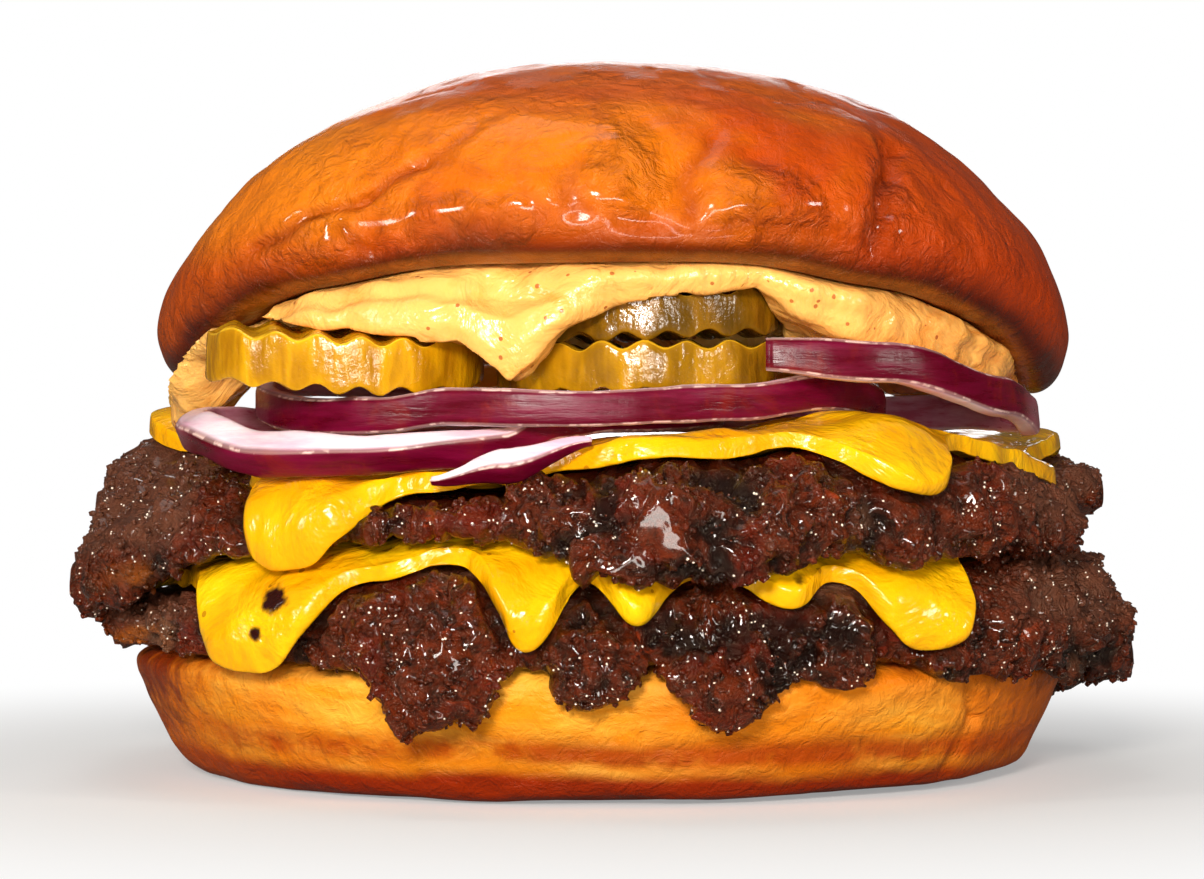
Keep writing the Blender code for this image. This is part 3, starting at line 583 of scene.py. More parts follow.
def sauce_finish(colours):
    """Creamy sauce with orange-brown streaks and small red-brown specks."""
    f = Finish("burger sauce", Specular_IOR_Level=0.5, Subsurface_Weight=0.1,
               Subsurface_Scale=0.003, Subsurface_Radius=(1.0, 0.55, 0.2))
    streaks = f.noise(60, 5, 0.65, 1.6, vector=f.stretched((1.0, 1.0, 2.4)))
    colour = f.mix(f.remap(streaks, 0.5, 0.74, 0.0, 0.8), colours.sauce, "#f09a3c")
    colour = f.mix(f.remap(f.noise(34, 4, 0.6), 0.56, 0.74, 0.0, 0.7), colour, "#e08628")
    right = f.maths('MULTIPLY', f.remap(f.axis("X"), 0.02, 0.042),
                    f.remap(f.noise(90, 4, 0.6, 1.2), 0.34, 0.62, 0.1, 0.85))
    colour = f.mix(right, colour, "#dc7a1c")
    specks = f.group(speck_effect(), Scale=420.0, Amount=0.11)
    colour = f.mix(f.maths('MULTIPLY', specks, 0.75), colour, "#a03a12")
    edge = f.remap(f.axis("X"), 0.04, 0.05)
    # Darker brown in patches towards the right edge.
    stain = f.maths('MULTIPLY', edge, f.remap(f.noise(150, 5, 0.7), 0.4, 0.62, 0.1, 0.9))
    colour = f.mix(stain, colour, "#a8561c")
    soft = f.noise(170, 4, 0.55, 0.8)
    normal = f.bump(soft, 1.2, 0.8, f.bump(f.noise(640, 4, 0.6), 0.16, 0.6))
    return f.done(colour, f.remap(soft, 0.3, 0.7, 0.18, 0.34), normal)


def droplet_finish():
    """Small drops of fat on the meat, dark brown, with pale cream patches that are painted
    sparkle.
    """
    f = Finish("fat drops", Coat_Weight=1.0, Coat_Roughness=0.03, Specular_IOR_Level=0.8)
    # Painted sparkle: the drops turn pale cream in patches to show as white glints.
    bright = f.remap(f.noise(450, 2), 0.5, 0.58)
    colour = f.mix(bright, "#5a2410", "#fff0dc")
    return f.done(colour, 0.08, f.bump(f.noise(900, 2), 0.02, 0.3))


# Crown: creases of its front as lines in X and Z: both ends, half width and depth
CREASES = (
    (-37.4, 58.1, -25.4, 62.3, 1.0, 0.75),
    (-25.4, 62.3, -18.6, 66.0, 1.0, 0.75),
    (-18.6, 66.0, -13.6, 69.3, 1.0, 0.6),
    (-26.3, 59.2, -23.5, 55.6, 0.8, 0.6),
    (-2.3, 66.0, -3.0, 60.4, 1.3, 0.5),
    (10.4, 68.5, 9.6, 61.4, 1.2, 0.75),
    (23.4, 60.6, 23.8, 56.4, 0.9, 0.5),
    (31.6, 68.6, 30.4, 63.0, 1.1, 1.4),
    (30.4, 63.0, 28.4, 57.0, 1.1, 1.1),
    (0.5, 59.6, 8.0, 58.7, 1.2, 0.35),
    (11.0, 58.9, 22.0, 59.5, 1.1, 0.5),
    (14.0, 66.5, 19.0, 65.0, 1.0, 0.4),
    (36.0, 64.0, 39.0, 58.0, 1.0, 0.35),
    (-8.0, 64.0, -6.4, 59.5, 0.9, 0.35),
)

# Crown: swellings beside the creases, as lines with a height instead of a depth
SWELLINGS = (
    (26.6, 67.6, 25.4, 62.0, 3.2, 0.9),
    (-30.0, 57.4, -20.0, 61.4, 2.6, 0.5),
    (6.4, 66.5, 6.2, 63.0, 2.6, -0.8),
    (15.0, 63.2, 20.0, 62.6, 3.0, 0.5),
    (2.0, 56.8, 21.0, 56.9, 1.5, 0.5),
)

# Heel: the one crease at the right of its front
HEEL_CREASES = (
    (39.6, 7.8, 38.4, 14.4, 0.7, 0.7),
    (39.6, 7.8, 36.6, 2.6, 0.7, 0.6),
)

# Wet, finely wrinkled places of the crown's front: middle in X and Z, half width and height
WET_PLACES = (
    (-13.0, 59.8, 11.0, 3.2),
    (2.6, 65.0, 5.0, 5.4),
    (17.0, 62.0, 7.0, 4.4),
    (-30.0, 58.6, 5.0, 2.4),
    (29.0, 61.5, 3.0, 5.0),
)


def near_line(points, line):
    """Gaussian of the distance from points to a line in X and Z, on the front only."""
    x0, z0, x1, z1, half, _ = line
    along = np.array((x1 - x0, z1 - z0))
    away = points[:, (0, 2)] - (x0, z0)
    t = np.clip(away @ along / (along @ along), 0.0, 1.0)
    distance = np.linalg.norm(away - t[:, None] * along, axis=1)
    return np.exp(-(distance / half) ** 2) * step_up(-points[:, 1], 5.0, 20.0)


def make_crown(settings):
    obj = dense_copy("bun_top", "crown", 3)
    points = points_of(obj)
    normals = normals_of(obj)
    outside = step_up(normals[:, 2], -0.55, -0.1)
    wavy = points + 1.6 * np.stack([lumps(points, 5.0, s) for s in (3, 4, 5)], axis=1)
    height = 0.4 * lumps(points, 11.0, 21) + 0.2 * lumps(points, 4.0, 22)
    height -= 0.12 * np.exp(-(lumps(points * (1, 1, 0.6), 8.0, 23) / 0.08) ** 2)
    crease = np.zeros(len(points))
    for line in CREASES:
        height -= line[5] * near_line(wavy, line)
        crease = np.maximum(crease, min(1.0, line[5]) * near_line(wavy, line))
    for line in SWELLINGS:
        height += line[5] * near_line(points, line)
    place_points(obj, points + normals * (height * outside)[:, None])
    radius = np.hypot(points[:, 0] - 1.2, points[:, 1])
    toast = step_up(-normals[:, 2], 0.6, 0.85) * step_up(50.0 - radius, 0.0, 2.0)
    store(obj, "toast", toast)
    # Painted shade: this mask darkens the crust along the creases.
    store(obj, "crease", 0.75 * crease * outside)
    wet = np.zeros(len(points))
    for x, z, half_x, half_z in WET_PLACES:
        away = np.hypot((points[:, 0] - x) / half_x, (points[:, 2] - z) / half_z)
        wet = np.maximum(wet, step_up(-away - 0.3 * lumps(points, 3.0, 27), -1.2, -0.5))
    store(obj, "wet", wet * step_up(-points[:, 1], 5.0, 20.0))
    # Painted shade: marks where the crust faces down, to be darkened.
    store(obj, "lip", step_up(-normals[:, 2] + 0.12 * lumps(points, 5.0, 24), 0.1, 0.75))
    return finish_piece(obj, crust_finish(settings), "crown_crust", "bun_top")


def make_heel():
    obj = dense_copy("bun_bottom", "heel", 3)
    points = points_of(obj)
    normals = normals_of(obj)
    side = step_up(np.hypot(points[:, 0], points[:, 1]), 44.0, 47.0)
    height = 0.3 * lumps(points, 12.0, 31) + 0.14 * lumps(points * (1, 1, 2.0), 4.0, 32)
    for line in HEEL_CREASES:
        height -= line[5] * near_line(points, line)
    place_points(obj, points + normals * (np.minimum(height, 0.6) * side)[:, None])
    return finish_piece(obj, heel_finish(), "heel_crumb", "bun_bottom")


# Meat: solids to stay clear of, seed, share of tan crust, and pale places with their reach
PATTIES = (
    ("patty_lower", "lower_patty", ("bun_bottom", "cheese_lower"), 40, 0.1,
     ((-46.0, -24.0, 15.0, 9.0), (47.0, -20.0, 16.0, 9.0), (-16.0, -50.0, 24.0, 4.0),
      (24.0, -48.0, 25.0, 5.0))),
    ("patty_upper", "upper_patty", ("cheese_lower", "cheese_upper"), 50, 0.22,
     ((-12.0, -50.0, 29.0, 4.0), (24.0, -50.0, 29.0, 4.0))),
)


def craggy(obj, clear, seed, depth):
    """Move a patty's bare surface out and in by lumps, crumbs and grains."""
    points = points_of(obj)
    normals = normals_of(obj)
    bare = step_up(clear, 0.5, 2.2)
    warped = points + 1.6 * np.stack([lumps(points, 3.4, seed + 11 + k) for k in range(3)],
                                     axis=1)
    shreds = 1.0 - np.abs(lumps(warped, 2.7, seed + 2)) * 2.4
    height = 1.2 * lumps(points, 6.0, seed) + 0.5
    height += 1.9 * (0.55 - grains(warped, 3.6, seed + 1))
    height += 0.6 * shreds
    height += 0.9 * (0.55 - grains(warped, 1.7, seed + 4))
    height += 0.25 * lumps(points, 0.8, seed + 7)
    height = np.minimum(height * depth, clear - 0.3) * bare
    sideways = np.stack([lumps(points, 2.2, seed + 8 + k) for k in range(3)], axis=1)
    place_points(obj, points + normals * height[:, None] + sideways * (0.6 * bare)[:, None])
    # Height of the crags, which the meat's colour uses for painted light on the raised parts
    # and painted shade in the recesses.
    store(obj, "ridge", step_up(height, -0.6, 1.4))
    flank = step_up(np.abs(points[:, 0]) + 2.0 * lumps(points, 5.0, seed + 14), 40.0, 46.0)
    store(obj, "sear", flank * step_up(normals[:, 2], -0.1, 0.5))
    fringe = step_up(-points[:, 0], 46.0, 51.0) * step_up(-normals[:, 2], -0.1, 0.5)
    store(obj, "amber", 0.8 * fringe * step_up(lumps(points, 3.0, seed + 15), -0.3, 0.5))
    return bare


def pale_mask(points, places):
    """Where the inside of the meat shows, less seared."""
    mask = np.zeros(len(points))
    for x, y, z, reach in places:
        away = np.linalg.norm(points - (x, y, z), axis=1)
        mask = np.maximum(mask, step_up(-away, -reach, -0.4 * reach))
    return mask * step_up(lumps(points, 3.0, 61), -0.3, 0.4)


def scatter_tree(material):
    """Geometry Nodes that scatter small lumps where the surface is bare."""
    tree = bpy.data.node_groups.new("Scattered lumps", "GeometryNodeTree")
    for name, kind in (("Geometry", "Geometry"), ("Density", "Float"), ("Smallest", "Float"),
                       ("Largest", "Float"), ("Roughness", "Float"), ("Divisions", "Int"),
                       ("Seed", "Int")):
        tree.interface.new_socket(name, in_out='INPUT', socket_type="NodeSocket" + kind)
    tree.interface.new_socket("Geometry", in_out='OUTPUT', socket_type='NodeSocketGeometry')
    link = tree.links.new
    given = tree.nodes.new("NodeGroupInput").outputs
    bare = tree.nodes.new("GeometryNodeInputNamedAttribute")
    bare.inputs["Name"].default_value = "bare"
    density = tree.nodes.new("ShaderNodeMath")
    density.operation = 'MULTIPLY'
    link(given["Density"], density.inputs[0])
    link(bare.outputs["Attribute"], density.inputs[1])
    spread = tree.nodes.new("GeometryNodeDistributePointsOnFaces")
    link(given["Geometry"], spread.inputs["Mesh"])
    link(density.outputs[0], spread.inputs["Density"])
    link(given["Seed"], spread.inputs["Seed"])
    lump = tree.nodes.new("GeometryNodeMeshIcoSphere")
    lump.inputs["Radius"].default_value = 1.0
    link(given["Divisions"], lump.inputs["Subdivisions"])
    dent = tree.nodes.new("ShaderNodeTexNoise")
    dent.inputs["Scale"].default_value = 0.9
    centred = tree.nodes.new("ShaderNodeVectorMath")
    centred.operation = 'SUBTRACT'
    centred.inputs[1].default_value = (0.5, 0.5, 0.5)
    link(dent.outputs["Color"], centred.inputs[0])
    scaled = tree.nodes.new("ShaderNodeVectorMath")
    scaled.operation = 'SCALE'
    link(centred.outputs[0], scaled.inputs[0])
    link(given["Roughness"], scaled.inputs["Scale"])
    rough = tree.nodes.new("GeometryNodeSetPosition")
    link(lump.outputs["Mesh"], rough.inputs["Geometry"])
    link(scaled.outputs[0], rough.inputs["Offset"])
    size = tree.nodes.new("FunctionNodeRandomValue")
    size.data_type = 'FLOAT_VECTOR'
    link(given["Smallest"], size.inputs["Min"])
    link(given["Largest"], size.inputs["Max"])
    turn = tree.nodes.new("FunctionNodeRandomValue")
    turn.data_type = 'FLOAT_VECTOR'
    turn.inputs["Max"].default_value = (6.28, 6.28, 6.28)
    place = tree.nodes.new("GeometryNodeInstanceOnPoints")
    link(spread.outputs["Points"], place.inputs["Points"])
    link(rough.outputs["Geometry"], place.inputs["Instance"])
    link(turn.outputs["Value"], place.inputs["Rotation"])
    link(size.outputs["Value"], place.inputs["Scale"])
    real = tree.nodes.new("GeometryNodeRealizeInstances")
    link(place.outputs["Instances"], real.inputs["Geometry"])
    coat = tree.nodes.new("GeometryNodeSetMaterial")
    coat.inputs["Material"].default_value = material
    link(real.outputs["Geometry"], coat.inputs["Geometry"])
    link(coat.outputs["Geometry"], tree.nodes.new("NodeGroupOutput").inputs[0])
    return tree


def scattered(base, name, material, values):
    """Small lumps on a piece, as a mesh of their own."""
    obj = new_object(name, base.data.copy())
    scatter = obj.modifiers.new("Scatter", 'NODES')
    tree = scatter_tree(material)
    scatter.node_group = tree
    for item in tree.interface.items_tree:
        if item.in_out == 'INPUT' and item.name in values:
            scatter[item.identifier] = values[item.name]
    flattened(obj)
    points = points_of(obj)
    place_points(obj, points)
    return finish_piece(obj, material, "seared_beef")


def make_patties(settings):
    drops = droplet_finish()
    for node, name, neighbours, seed, crust, pale in PATTIES:
        obj = dense_copy(node, name, 3)
        clear = room_to(points_of(obj), neighbours)
        bare = craggy(obj, clear, seed, settings.crag_depth)
        points = points_of(obj)
        store(obj, "bare", bare * step_up(clear, 1.4, 2.6))
        store(obj, "pale", pale_mask(points, pale))
        material = meat_finish(name.replace("_", " "), settings, crust)
        finish_piece(obj, material, "seared_beef", node)
        scattered(obj, name + "_crumbs", material,
                  {"Density": 420000.0, "Smallest": 0.00015, "Largest": 0.0007,
                   "Roughness": 1.6, "Divisions": 1, "Seed": seed})
        scattered(obj, name + "_fat", drops,
                  {"Density": 420000.0, "Smallest": 0.00009, "Largest": 0.00019,
                   "Roughness": 0.2, "Divisions": 1, "Seed": seed + 1})


def make_cheeses(settings):
    material = cheese_finish(settings)
    for node, name, seed in (("cheese_lower", "lower_cheese", 70),
                             ("cheese_upper", "upper_cheese", 80)):
        obj = dense_copy(node, name, 3)
        points = points_of(obj)
        normals = normals_of(obj)
        radius = np.hypot(points[:, 0], points[:, 1])
        rim = step_up(radius, 30.0, 42.0)
        out = points * (1, 1, 0) / np.maximum(radius, 1.0)[:, None]
        slope = (step_up(radius, 36.0, 56.0) * 1.1)[:, None]
        lean = out * np.sin(slope) + np.array((0, 0, 1.0)) * np.cos(slope)
        drape = 0.75 * lumps(points * (1, 1, 0.8), 6.0, seed + 2) * rim
        height = (0.3 * lumps(points, 6.0, seed) + 0.16 * lumps(points, 2.4, seed + 1)) * rim
        height -= 0.3 * step_up(radius, 44.0, 50.0) * step_up(normals[:, 2], -0.6, 0.3)
        place_points(obj, points + lean * drape[:, None] + normals * height[:, None])
        finish_piece(obj, material, "melted_cheese", node)


# Onion: the same sizes as the solids, in millimetres and degrees
RINGS = {
    "onion_ring_left": dict(
        centre=(-16.0, -22.5), radii=(28.6, 25.0), turn=22.0, arc=(-180, 180),
        width=2.8, height=3.7,
        wider=((-180, 1.0), (-130, 1.0), (-95, 1.5), (-58, 1.6), (-36, 1.1), (-16, 1.0)),
        middle=((-180, 39.9), (-152, 39.4), (-125, 39.3), (-90, 38.3), (-60, 36.1),
                (-38, 36.0), (-16, 36.5), (-8, 36.8), (4, 39.5), (18, 40.2), (62, 40.7),
                (100, 40.5), (150, 40.3)),
        roll=((-180, 0), (-120, -10), (-80, -36), (-30, -42), (-12, -24), (10, 0))),
    "onion_ring_long": dict(
        centre=(-3.5, -14.5), radii=(34.0, 35.0), turn=0.0, arc=(-180, 180),
        width=2.3, height=3.9,
        middle=((-180, 40.5), (-150, 42.6), (-128, 44.6), (-108, 44.6), (-98, 43.7),
                (-84, 41.6), (-50, 40.0), (-34, 40.1), (-20, 41.0), (0, 40.7), (30, 41.4),
                (52, 42.6), (90, 40.9), (140, 40.4)),
        roll=((-180, 0), (0, 0))),
    "onion_ring_right": dict(
        centre=(19.5, -9.5), radii=(28.5, 34.0), turn=0.0, arc=(-5, 190),
        width=2.4, height=4.3, tip=0.8,
        middle=((-180, 42.0), (-5, 46.4), (20, 45.6), (55, 42.2), (80, 40.2), (100, 40.6),
                (120, 40.95), (150, 40.8)),
        roll=((-180, 0), (0, 4), (60, 10), (110, 0))),
    "onion_strip": dict(
        centre=(-4.0, -30.0), radii=(34.0, 23.2), turn=0.0, arc=(-23, 5), taper=0.45,
        width=2.8, height=3.0,
        middle=((-180, 36.0), (-23, 33.4), (-10, 34.9), (5, 37.4)),
        roll=((-180, -50), (0, -50))),
}
RING_NAMES = {"onion_ring_left": "left_onion", "onion_ring_long": "long_onion",
              "onion_ring_right": "right_onion", "onion_strip": "onion_sliver"}
RING_STEPS = 200
TIP_SCALE = 0.3
END_TAPER = 0.06
BAND_SIDES = 28


def band_section(width, height):
    """Outline of an onion band, with how far each point is across it."""
    outline = []
    for k in range(BAND_SIDES):
        a = 2 * math.pi * (k + 0.5) / BAND_SIDES
        u = math.copysign(abs(math.cos(a)) ** 0.45, math.cos(a))
        v = math.copysign(abs(math.sin(a)) ** 0.35, math.sin(a))
        bow = 0.06 * (1.0 - v * v)
        outline.append((0.5 * width * (0.94 * u + bow), 0.5 * height * v * 0.99, u))
    return outline


def make_ring(node, size, material):
    """Band of onion swept round its ellipse, with a slight natural wander."""
    first, last = size["arc"]
    closed = last - first >= 360
    steps = max(40, int(RING_STEPS * (last - first) / 360.0))
    rx, ry = size["radii"]
    turn = Euler((0.0, 0.0, math.radians(size["turn"]))).to_matrix()
    section = band_section(size["width"], size["height"])
    taper = size.get("taper", END_TAPER)
    points = []
    across = []
    loops = steps if closed else steps + 1
    for i in range(loops):
        degrees = first + (last - first) * i / steps
        a = math.radians(degrees)
        middle = turn @ Vector((rx * math.sin(a), -ry * math.cos(a), 0.0))
        outward = turn @ Vector((ry * math.sin(a), -rx * math.cos(a), 0.0)).normalized()
        middle += Vector((*size["centre"], eased(size["middle"], degrees)))
        roll = math.radians(eased(size["roll"], degrees))
        side = outward * math.cos(roll) + Vector((0, 0, math.sin(roll)))
        lift = Vector((0, 0, math.cos(roll))) - outward * math.sin(roll)
        wide = eased(size["wider"], degrees) if "wider" in size else 1.0
        tip = 1.0
        if not closed:
            least = size.get("tip", TIP_SCALE)
            tip = min(1.0, least + (1.0 - least) * min(i, steps - i) / steps / taper)
        for u, v, share in section:
            points.append(tuple(middle + side * (u * wide * tip) + lift * (v * tip)))
            across.append(share)
    faces = []
    for i in range(loops if closed else loops - 1):
        j = (i + 1) % loops
        for k in range(BAND_SIDES):
            m = (k + 1) % BAND_SIDES
            faces.append((i * BAND_SIDES + k, j * BAND_SIDES + k, j * BAND_SIDES + m,
                          i * BAND_SIDES + m))
    if not closed:
        faces.append(tuple(range(BAND_SIDES)))
        faces.append(tuple((loops - 1) * BAND_SIDES + k for k in reversed(range(BAND_SIDES))))
    obj = from_points(RING_NAMES[node], points, faces)
    shape = points_of(obj)
    normals = normals_of(obj)
    wander = 0.14 * lumps(shape, 5.0, 91) + 0.05 * lumps(shape, 1.6, 92)
    place_points(obj, shape + normals * wander[:, None])
    store(obj, "across", across)
    across = np.array(across)
    store(obj, "edge", step_up(across, 0.72, 0.8) * step_up(-across, -0.93, -0.87))
    # Painted sheen at the far left and right ends of the bands, patchy on the left.
    worn = step_up(-shape[:, 0], 43.0, 47.0) * step_up(lumps(shape, 4.0, 93), -0.8, 0.3)
    store(obj, "worn", np.maximum(worn, step_up(shape[:, 0], 45.5, 48.5)) * 0.6)
    return finish_piece(obj, material, "red_onion", node)


def make_onions(settings):
    material = onion_finish(settings)
    for node, size in RINGS.items():
        make_ring(node, size, material)


# Pickles: centre, radius, thickness, tilt about X and Y and turn in degrees, and colours
RIDGE_PITCH = 4.4
RIDGE_DEPTH = 0.45
PICKLES = {
    "pickle_left": dict(centre=(-27.4, -31.5, 46.5), radius=15.0, thick=5.2, tilt=(5.0, 2.0),
                        turn=6.0, colours=("#a87004", "#dca008", "#f4c024")),
    # Painted shade: a darker copy of the left slice's colours.
    "pickle_middle": dict(centre=(4.0, -30.5, 45.2), radius=15.2, thick=4.8, tilt=(1.0, -1.0),
                          turn=-3.0, colours=("#80580a", "#b8840a", "#dcaa20")),
    # Painted shade: the darkest copy of the left slice's colours, under the crown's edge.
    "pickle_top": dict(centre=(4.6, -30.0, 50.9), radius=14.8, thick=4.4, tilt=(1.0, -2.0),
                       turn=4.0, colours=("#583c04", "#8c6006", "#b0862a")),
}
PICKLE_NAMES = {"pickle_left": "left_pickle", "pickle_middle": "middle_pickle",
                "pickle_top": "top_pickle"}
PICKLE_SIDES = 180
FACE_RINGS = 22
FACE_SHARE = 0.965


def pickle_profile(radius, thick):
    """Radius, height and rim share of each ring of a slice, from its top to its base."""
    half = 0.5 * thick
    face = [(radius * (k / FACE_RINGS) * FACE_SHARE, half, 0.0)
            for k in range(1, FACE_RINGS + 1)]
    rim = []
    for k in range(1, 12):
        a = math.pi * k / 12
        out = math.sin(a) ** 0.35
        rim.append((radius * (FACE_SHARE + (1.0 - FACE_SHARE) * out),
                    half * math.copysign(abs(math.cos(a)) ** 0.6, math.cos(a)), out))
    return face + rim + [(r, -half, 0.0) for r, _, _ in reversed(face)]


def make_pickle(node, size):
    """Crinkle-cut slice with a ridged face on either side."""
    profile = pickle_profile(size["radius"], size["thick"])
    flat = []
    rim = []
    brow = []
    for r, z, share in profile:
        for k in range(PICKLE_SIDES):
            a = 2 * math.pi * k / PICKLE_SIDES
            out = r * (1.0 - 0.012 * (1 + math.sin(3 * a + 1.0)) * (r / size["radius"]) ** 4)
            x = out * math.cos(a)
            wave = RIDGE_DEPTH * math.sin(2 * math.pi * x / RIDGE_PITCH)
            flat.append((x, out * math.sin(a), z + wave))
            rim.append(share)
            # Painted highlight: marks the upper edge of the rim, to be coloured pale.
            brow.append(1.0 if 0.2 < share < 0.75 and z > 0 else 0.0)
    count = len(profile)
    faces = []
    for level in range(count - 1):
        for k in range(PICKLE_SIDES):
            m = (k + 1) % PICKLE_SIDES
            upper = level * PICKLE_SIDES
            lower = upper + PICKLE_SIDES
            faces.append((upper + k, lower + k, lower + m, upper + m))
    for centre, level, turned in ((0.5, 0, False), (-0.5, count - 1, True)):
        flat.append((0.0, 0.0, centre * size["thick"]))
        rim.append(0.0)
        brow.append(0.0)
        start = level * PICKLE_SIDES
        for k in range(PICKLE_SIDES):
            m = (k + 1) % PICKLE_SIDES
            pair = (start + m, start + k) if turned else (start + k, start + m)
            faces.append((len(flat) - 1, *pair))
    tilt_x, tilt_y = size["tilt"]
    turn = Euler((math.radians(tilt_x), math.radians(tilt_y),
                  math.radians(size["turn"]))).to_matrix().to_4x4()
    matrix = Matrix.Translation(Vector(size["centre"])) @ turn
    obj = from_points(PICKLE_NAMES[node], [tuple(matrix @ Vector(p)) for p in flat], faces)
    points = points_of(obj)
    wander = 0.16 * lumps(points, 3.0, 95) + 0.06 * lumps(points, 1.2, 96)
    place_points(obj, points + normals_of(obj) * wander[:, None])
    store(obj, "rim", rim)
    store(obj, "brow", brow)
    material = pickle_finish(PICKLE_NAMES[node].replace("_", " "), *size["colours"])
    return finish_piece(obj, material, "pickle", node)


def make_sauce(settings):
    """Sauce rebuilt from small cells, swollen in soft blobs where it has room."""
    obj = voxel_copy("sauce", "burger_sauce", 0.45, 2)
    points = points_of(obj)
    clear = room_to(points, ("bun_top", "pickle_left", "pickle_middle", "pickle_top",
                             "onion_ring_right", "onion_ring_long", "onion_ring_left"))
    height = 0.8 * lumps(points, 6.5, 101) + 0.35 * lumps(points, 2.6, 102)
    normals = normals_of(obj)
    to_crown = room_to(points, ("bun_top",))
    lift = 1.6 * step_up(normals[:, 2], -0.1, 0.5) * step_up(3.5 - to_crown, 0.0, 1.5)
    height = np.minimum(height + lift, np.maximum(clear - 0.15, -0.6))
    height = np.maximum(height, -0.35)
    place_points(obj, points + normals * height[:, None])
    return finish_piece(obj, sauce_finish(settings), "sauce", "sauce")


# Studio, in metres, with the lens in millimetres
CAMERA_Y = -0.4
CAMERA_Z = 0.0376
CAMERA_LENS = 102.9
FLOOR_RADIUS = 1.3
FLOOR_SIDES = 96
SWEEP_RADIUS = 0.5
LAMP_AIM = (0.0, 0.0, 0.04)
WARM = (1.0, 0.95, 0.88)
WHITE = (1.0, 1.0, 1.0)

# Lamps: place, width and height, share of the key lamp's power, and tint
LAMPS = (
    ("key", (-0.08, -0.62, 0.18), (0.12, 0.09), 1.0, WARM),
    ("low fill", (0.06, -0.72, 0.03), (0.3, 0.06), 0.42, WARM),
    ("side", (0.5, -0.35, 0.2), (0.06, 0.1), 0.2, WARM),
    ("left", (-0.5, -0.3, 0.16), (0.06, 0.1), 0.24, WARM),
    ("top", (-0.1, 0.1, 0.7), (0.3, 0.3), 0.16, WHITE),
    ("back", (0.0, 0.6, 0.2), (0.25, 0.2), 0.16, WHITE),
)


def floor_finish():
    """Plain pale floor that fades to white away from the burger."""
    material = bpy.data.materials.new("studio floor")
    material.use_nodes = True
    tree = material.node_tree
    tree.nodes.clear()
    place = tree.nodes.new("ShaderNodeTexCoord")
    length = tree.nodes.new("ShaderNodeVectorMath")
    length.operation = 'LENGTH'
    fade = tree.nodes.new("ShaderNodeMapRange")
    fade.interpolation_type = 'SMOOTHSTEP'
    fade.inputs["From Min"].default_value = 0.045
    fade.inputs["From Max"].default_value = 0.16
    fade.inputs["To Min"].default_value = 0.3
    path = tree.nodes.new("ShaderNodeLightPath")
    both = tree.nodes.new("ShaderNodeMath")
    both.operation = 'MULTIPLY'
    matte = tree.nodes.new("ShaderNodeBsdfDiffuse")
    shown = tree.nodes.new("ShaderNodeMix")
    shown.data_type = 'RGBA'
    shown.inputs[6].default_value = (0.3, 0.27, 0.24, 1.0)
    shown.inputs[7].default_value = (0.9, 0.895, 0.885, 1.0)
    glow = tree.nodes.new("ShaderNodeEmission")
    mix = tree.nodes.new("ShaderNodeMixShader")
    out = tree.nodes.new("ShaderNodeOutputMaterial")
    link = tree.links.new
    link(place.outputs["Object"], length.inputs[0])
    link(length.outputs["Value"], fade.inputs["Value"])
    link(fade.outputs["Result"], both.inputs[0])
    link(path.outputs["Is Camera Ray"], both.inputs[1])
    link(path.outputs["Is Camera Ray"], shown.inputs[0])
    link(shown.outputs[2], matte.inputs["Color"])
    link(both.outputs[0], mix.inputs["Fac"])
    link(matte.outputs[0], mix.inputs[1])
    link(glow.outputs[0], mix.inputs[2])
    link(mix.outputs[0], out.inputs["Surface"])
    return material


def make_floor():
    """Round floor that sweeps up at its edge, the same from every side."""
    profile = [(r, 0.0) for r in (0.02, 0.1, 0.2, 0.4, FLOOR_RADIUS - SWEEP_RADIUS)]
    for k in range(1, 13):
        a = 0.5 * math.pi * k / 12
        profile.append((FLOOR_RADIUS - SWEEP_RADIUS + SWEEP_RADIUS * math.sin(a),
                        SWEEP_RADIUS * (1 - math.cos(a))))
    points = [(0.0, 0.0, 0.0)]
    faces = []
    for r, z in profile:
        for k in range(FLOOR_SIDES):
            a = 2 * math.pi * k / FLOOR_SIDES
            points.append((r * math.cos(a), r * math.sin(a), z))
    for k in range(FLOOR_SIDES):
        m = (k + 1) % FLOOR_SIDES
        faces.append((0, 1 + k, 1 + m))
        for level in range(len(profile) - 1):
            inner = 1 + level * FLOOR_SIDES
            outer = inner + FLOOR_SIDES
            faces.append((inner + k, outer + k, outer + m, inner + m))
    mesh = bpy.data.meshes.new("studio_floor")
    mesh.from_pydata(points, [], faces)
    mesh.shade_smooth()
    mesh.materials.append(floor_finish())
    new_object("studio_floor", mesh)


def add_light(name, place, size, power, tint):
    """Soft rectangular lamp that faces the middle of the burger."""
    lamp = bpy.data.lights.new(name, 'AREA')
    lamp.shape = 'RECTANGLE'
    lamp.size, lamp.size_y = size
    lamp.energy = power
    lamp.color = tint
    obj = bpy.data.objects.new(name, lamp)
    bpy.context.scene.collection.objects.link(obj)
    obj.location = place
    obj.rotation_euler = (Vector(LAMP_AIM) - Vector(place)).to_track_quat('-Z', 'Y').to_euler()


def make_world(strength):
    """White surround, dimmer as light than it looks to the camera."""
    world = bpy.data.worlds.new("studio")
    bpy.context.scene.world = world
    world.use_nodes = True
    tree = world.node_tree
    background = tree.nodes["Background"]
    path = tree.nodes.new("ShaderNodeLightPath")
    level = tree.nodes.new("ShaderNodeMapRange")
    level.inputs["To Min"].default_value = strength
    level.inputs["To Max"].default_value = 1.0
    tree.links.new(path.outputs["Is Camera Ray"], level.inputs["Value"])
    tree.links.new(level.outputs["Result"], background.inputs["Strength"])
    background.inputs["Color"].default_value = (1.0, 1.0, 1.0, 1.0)


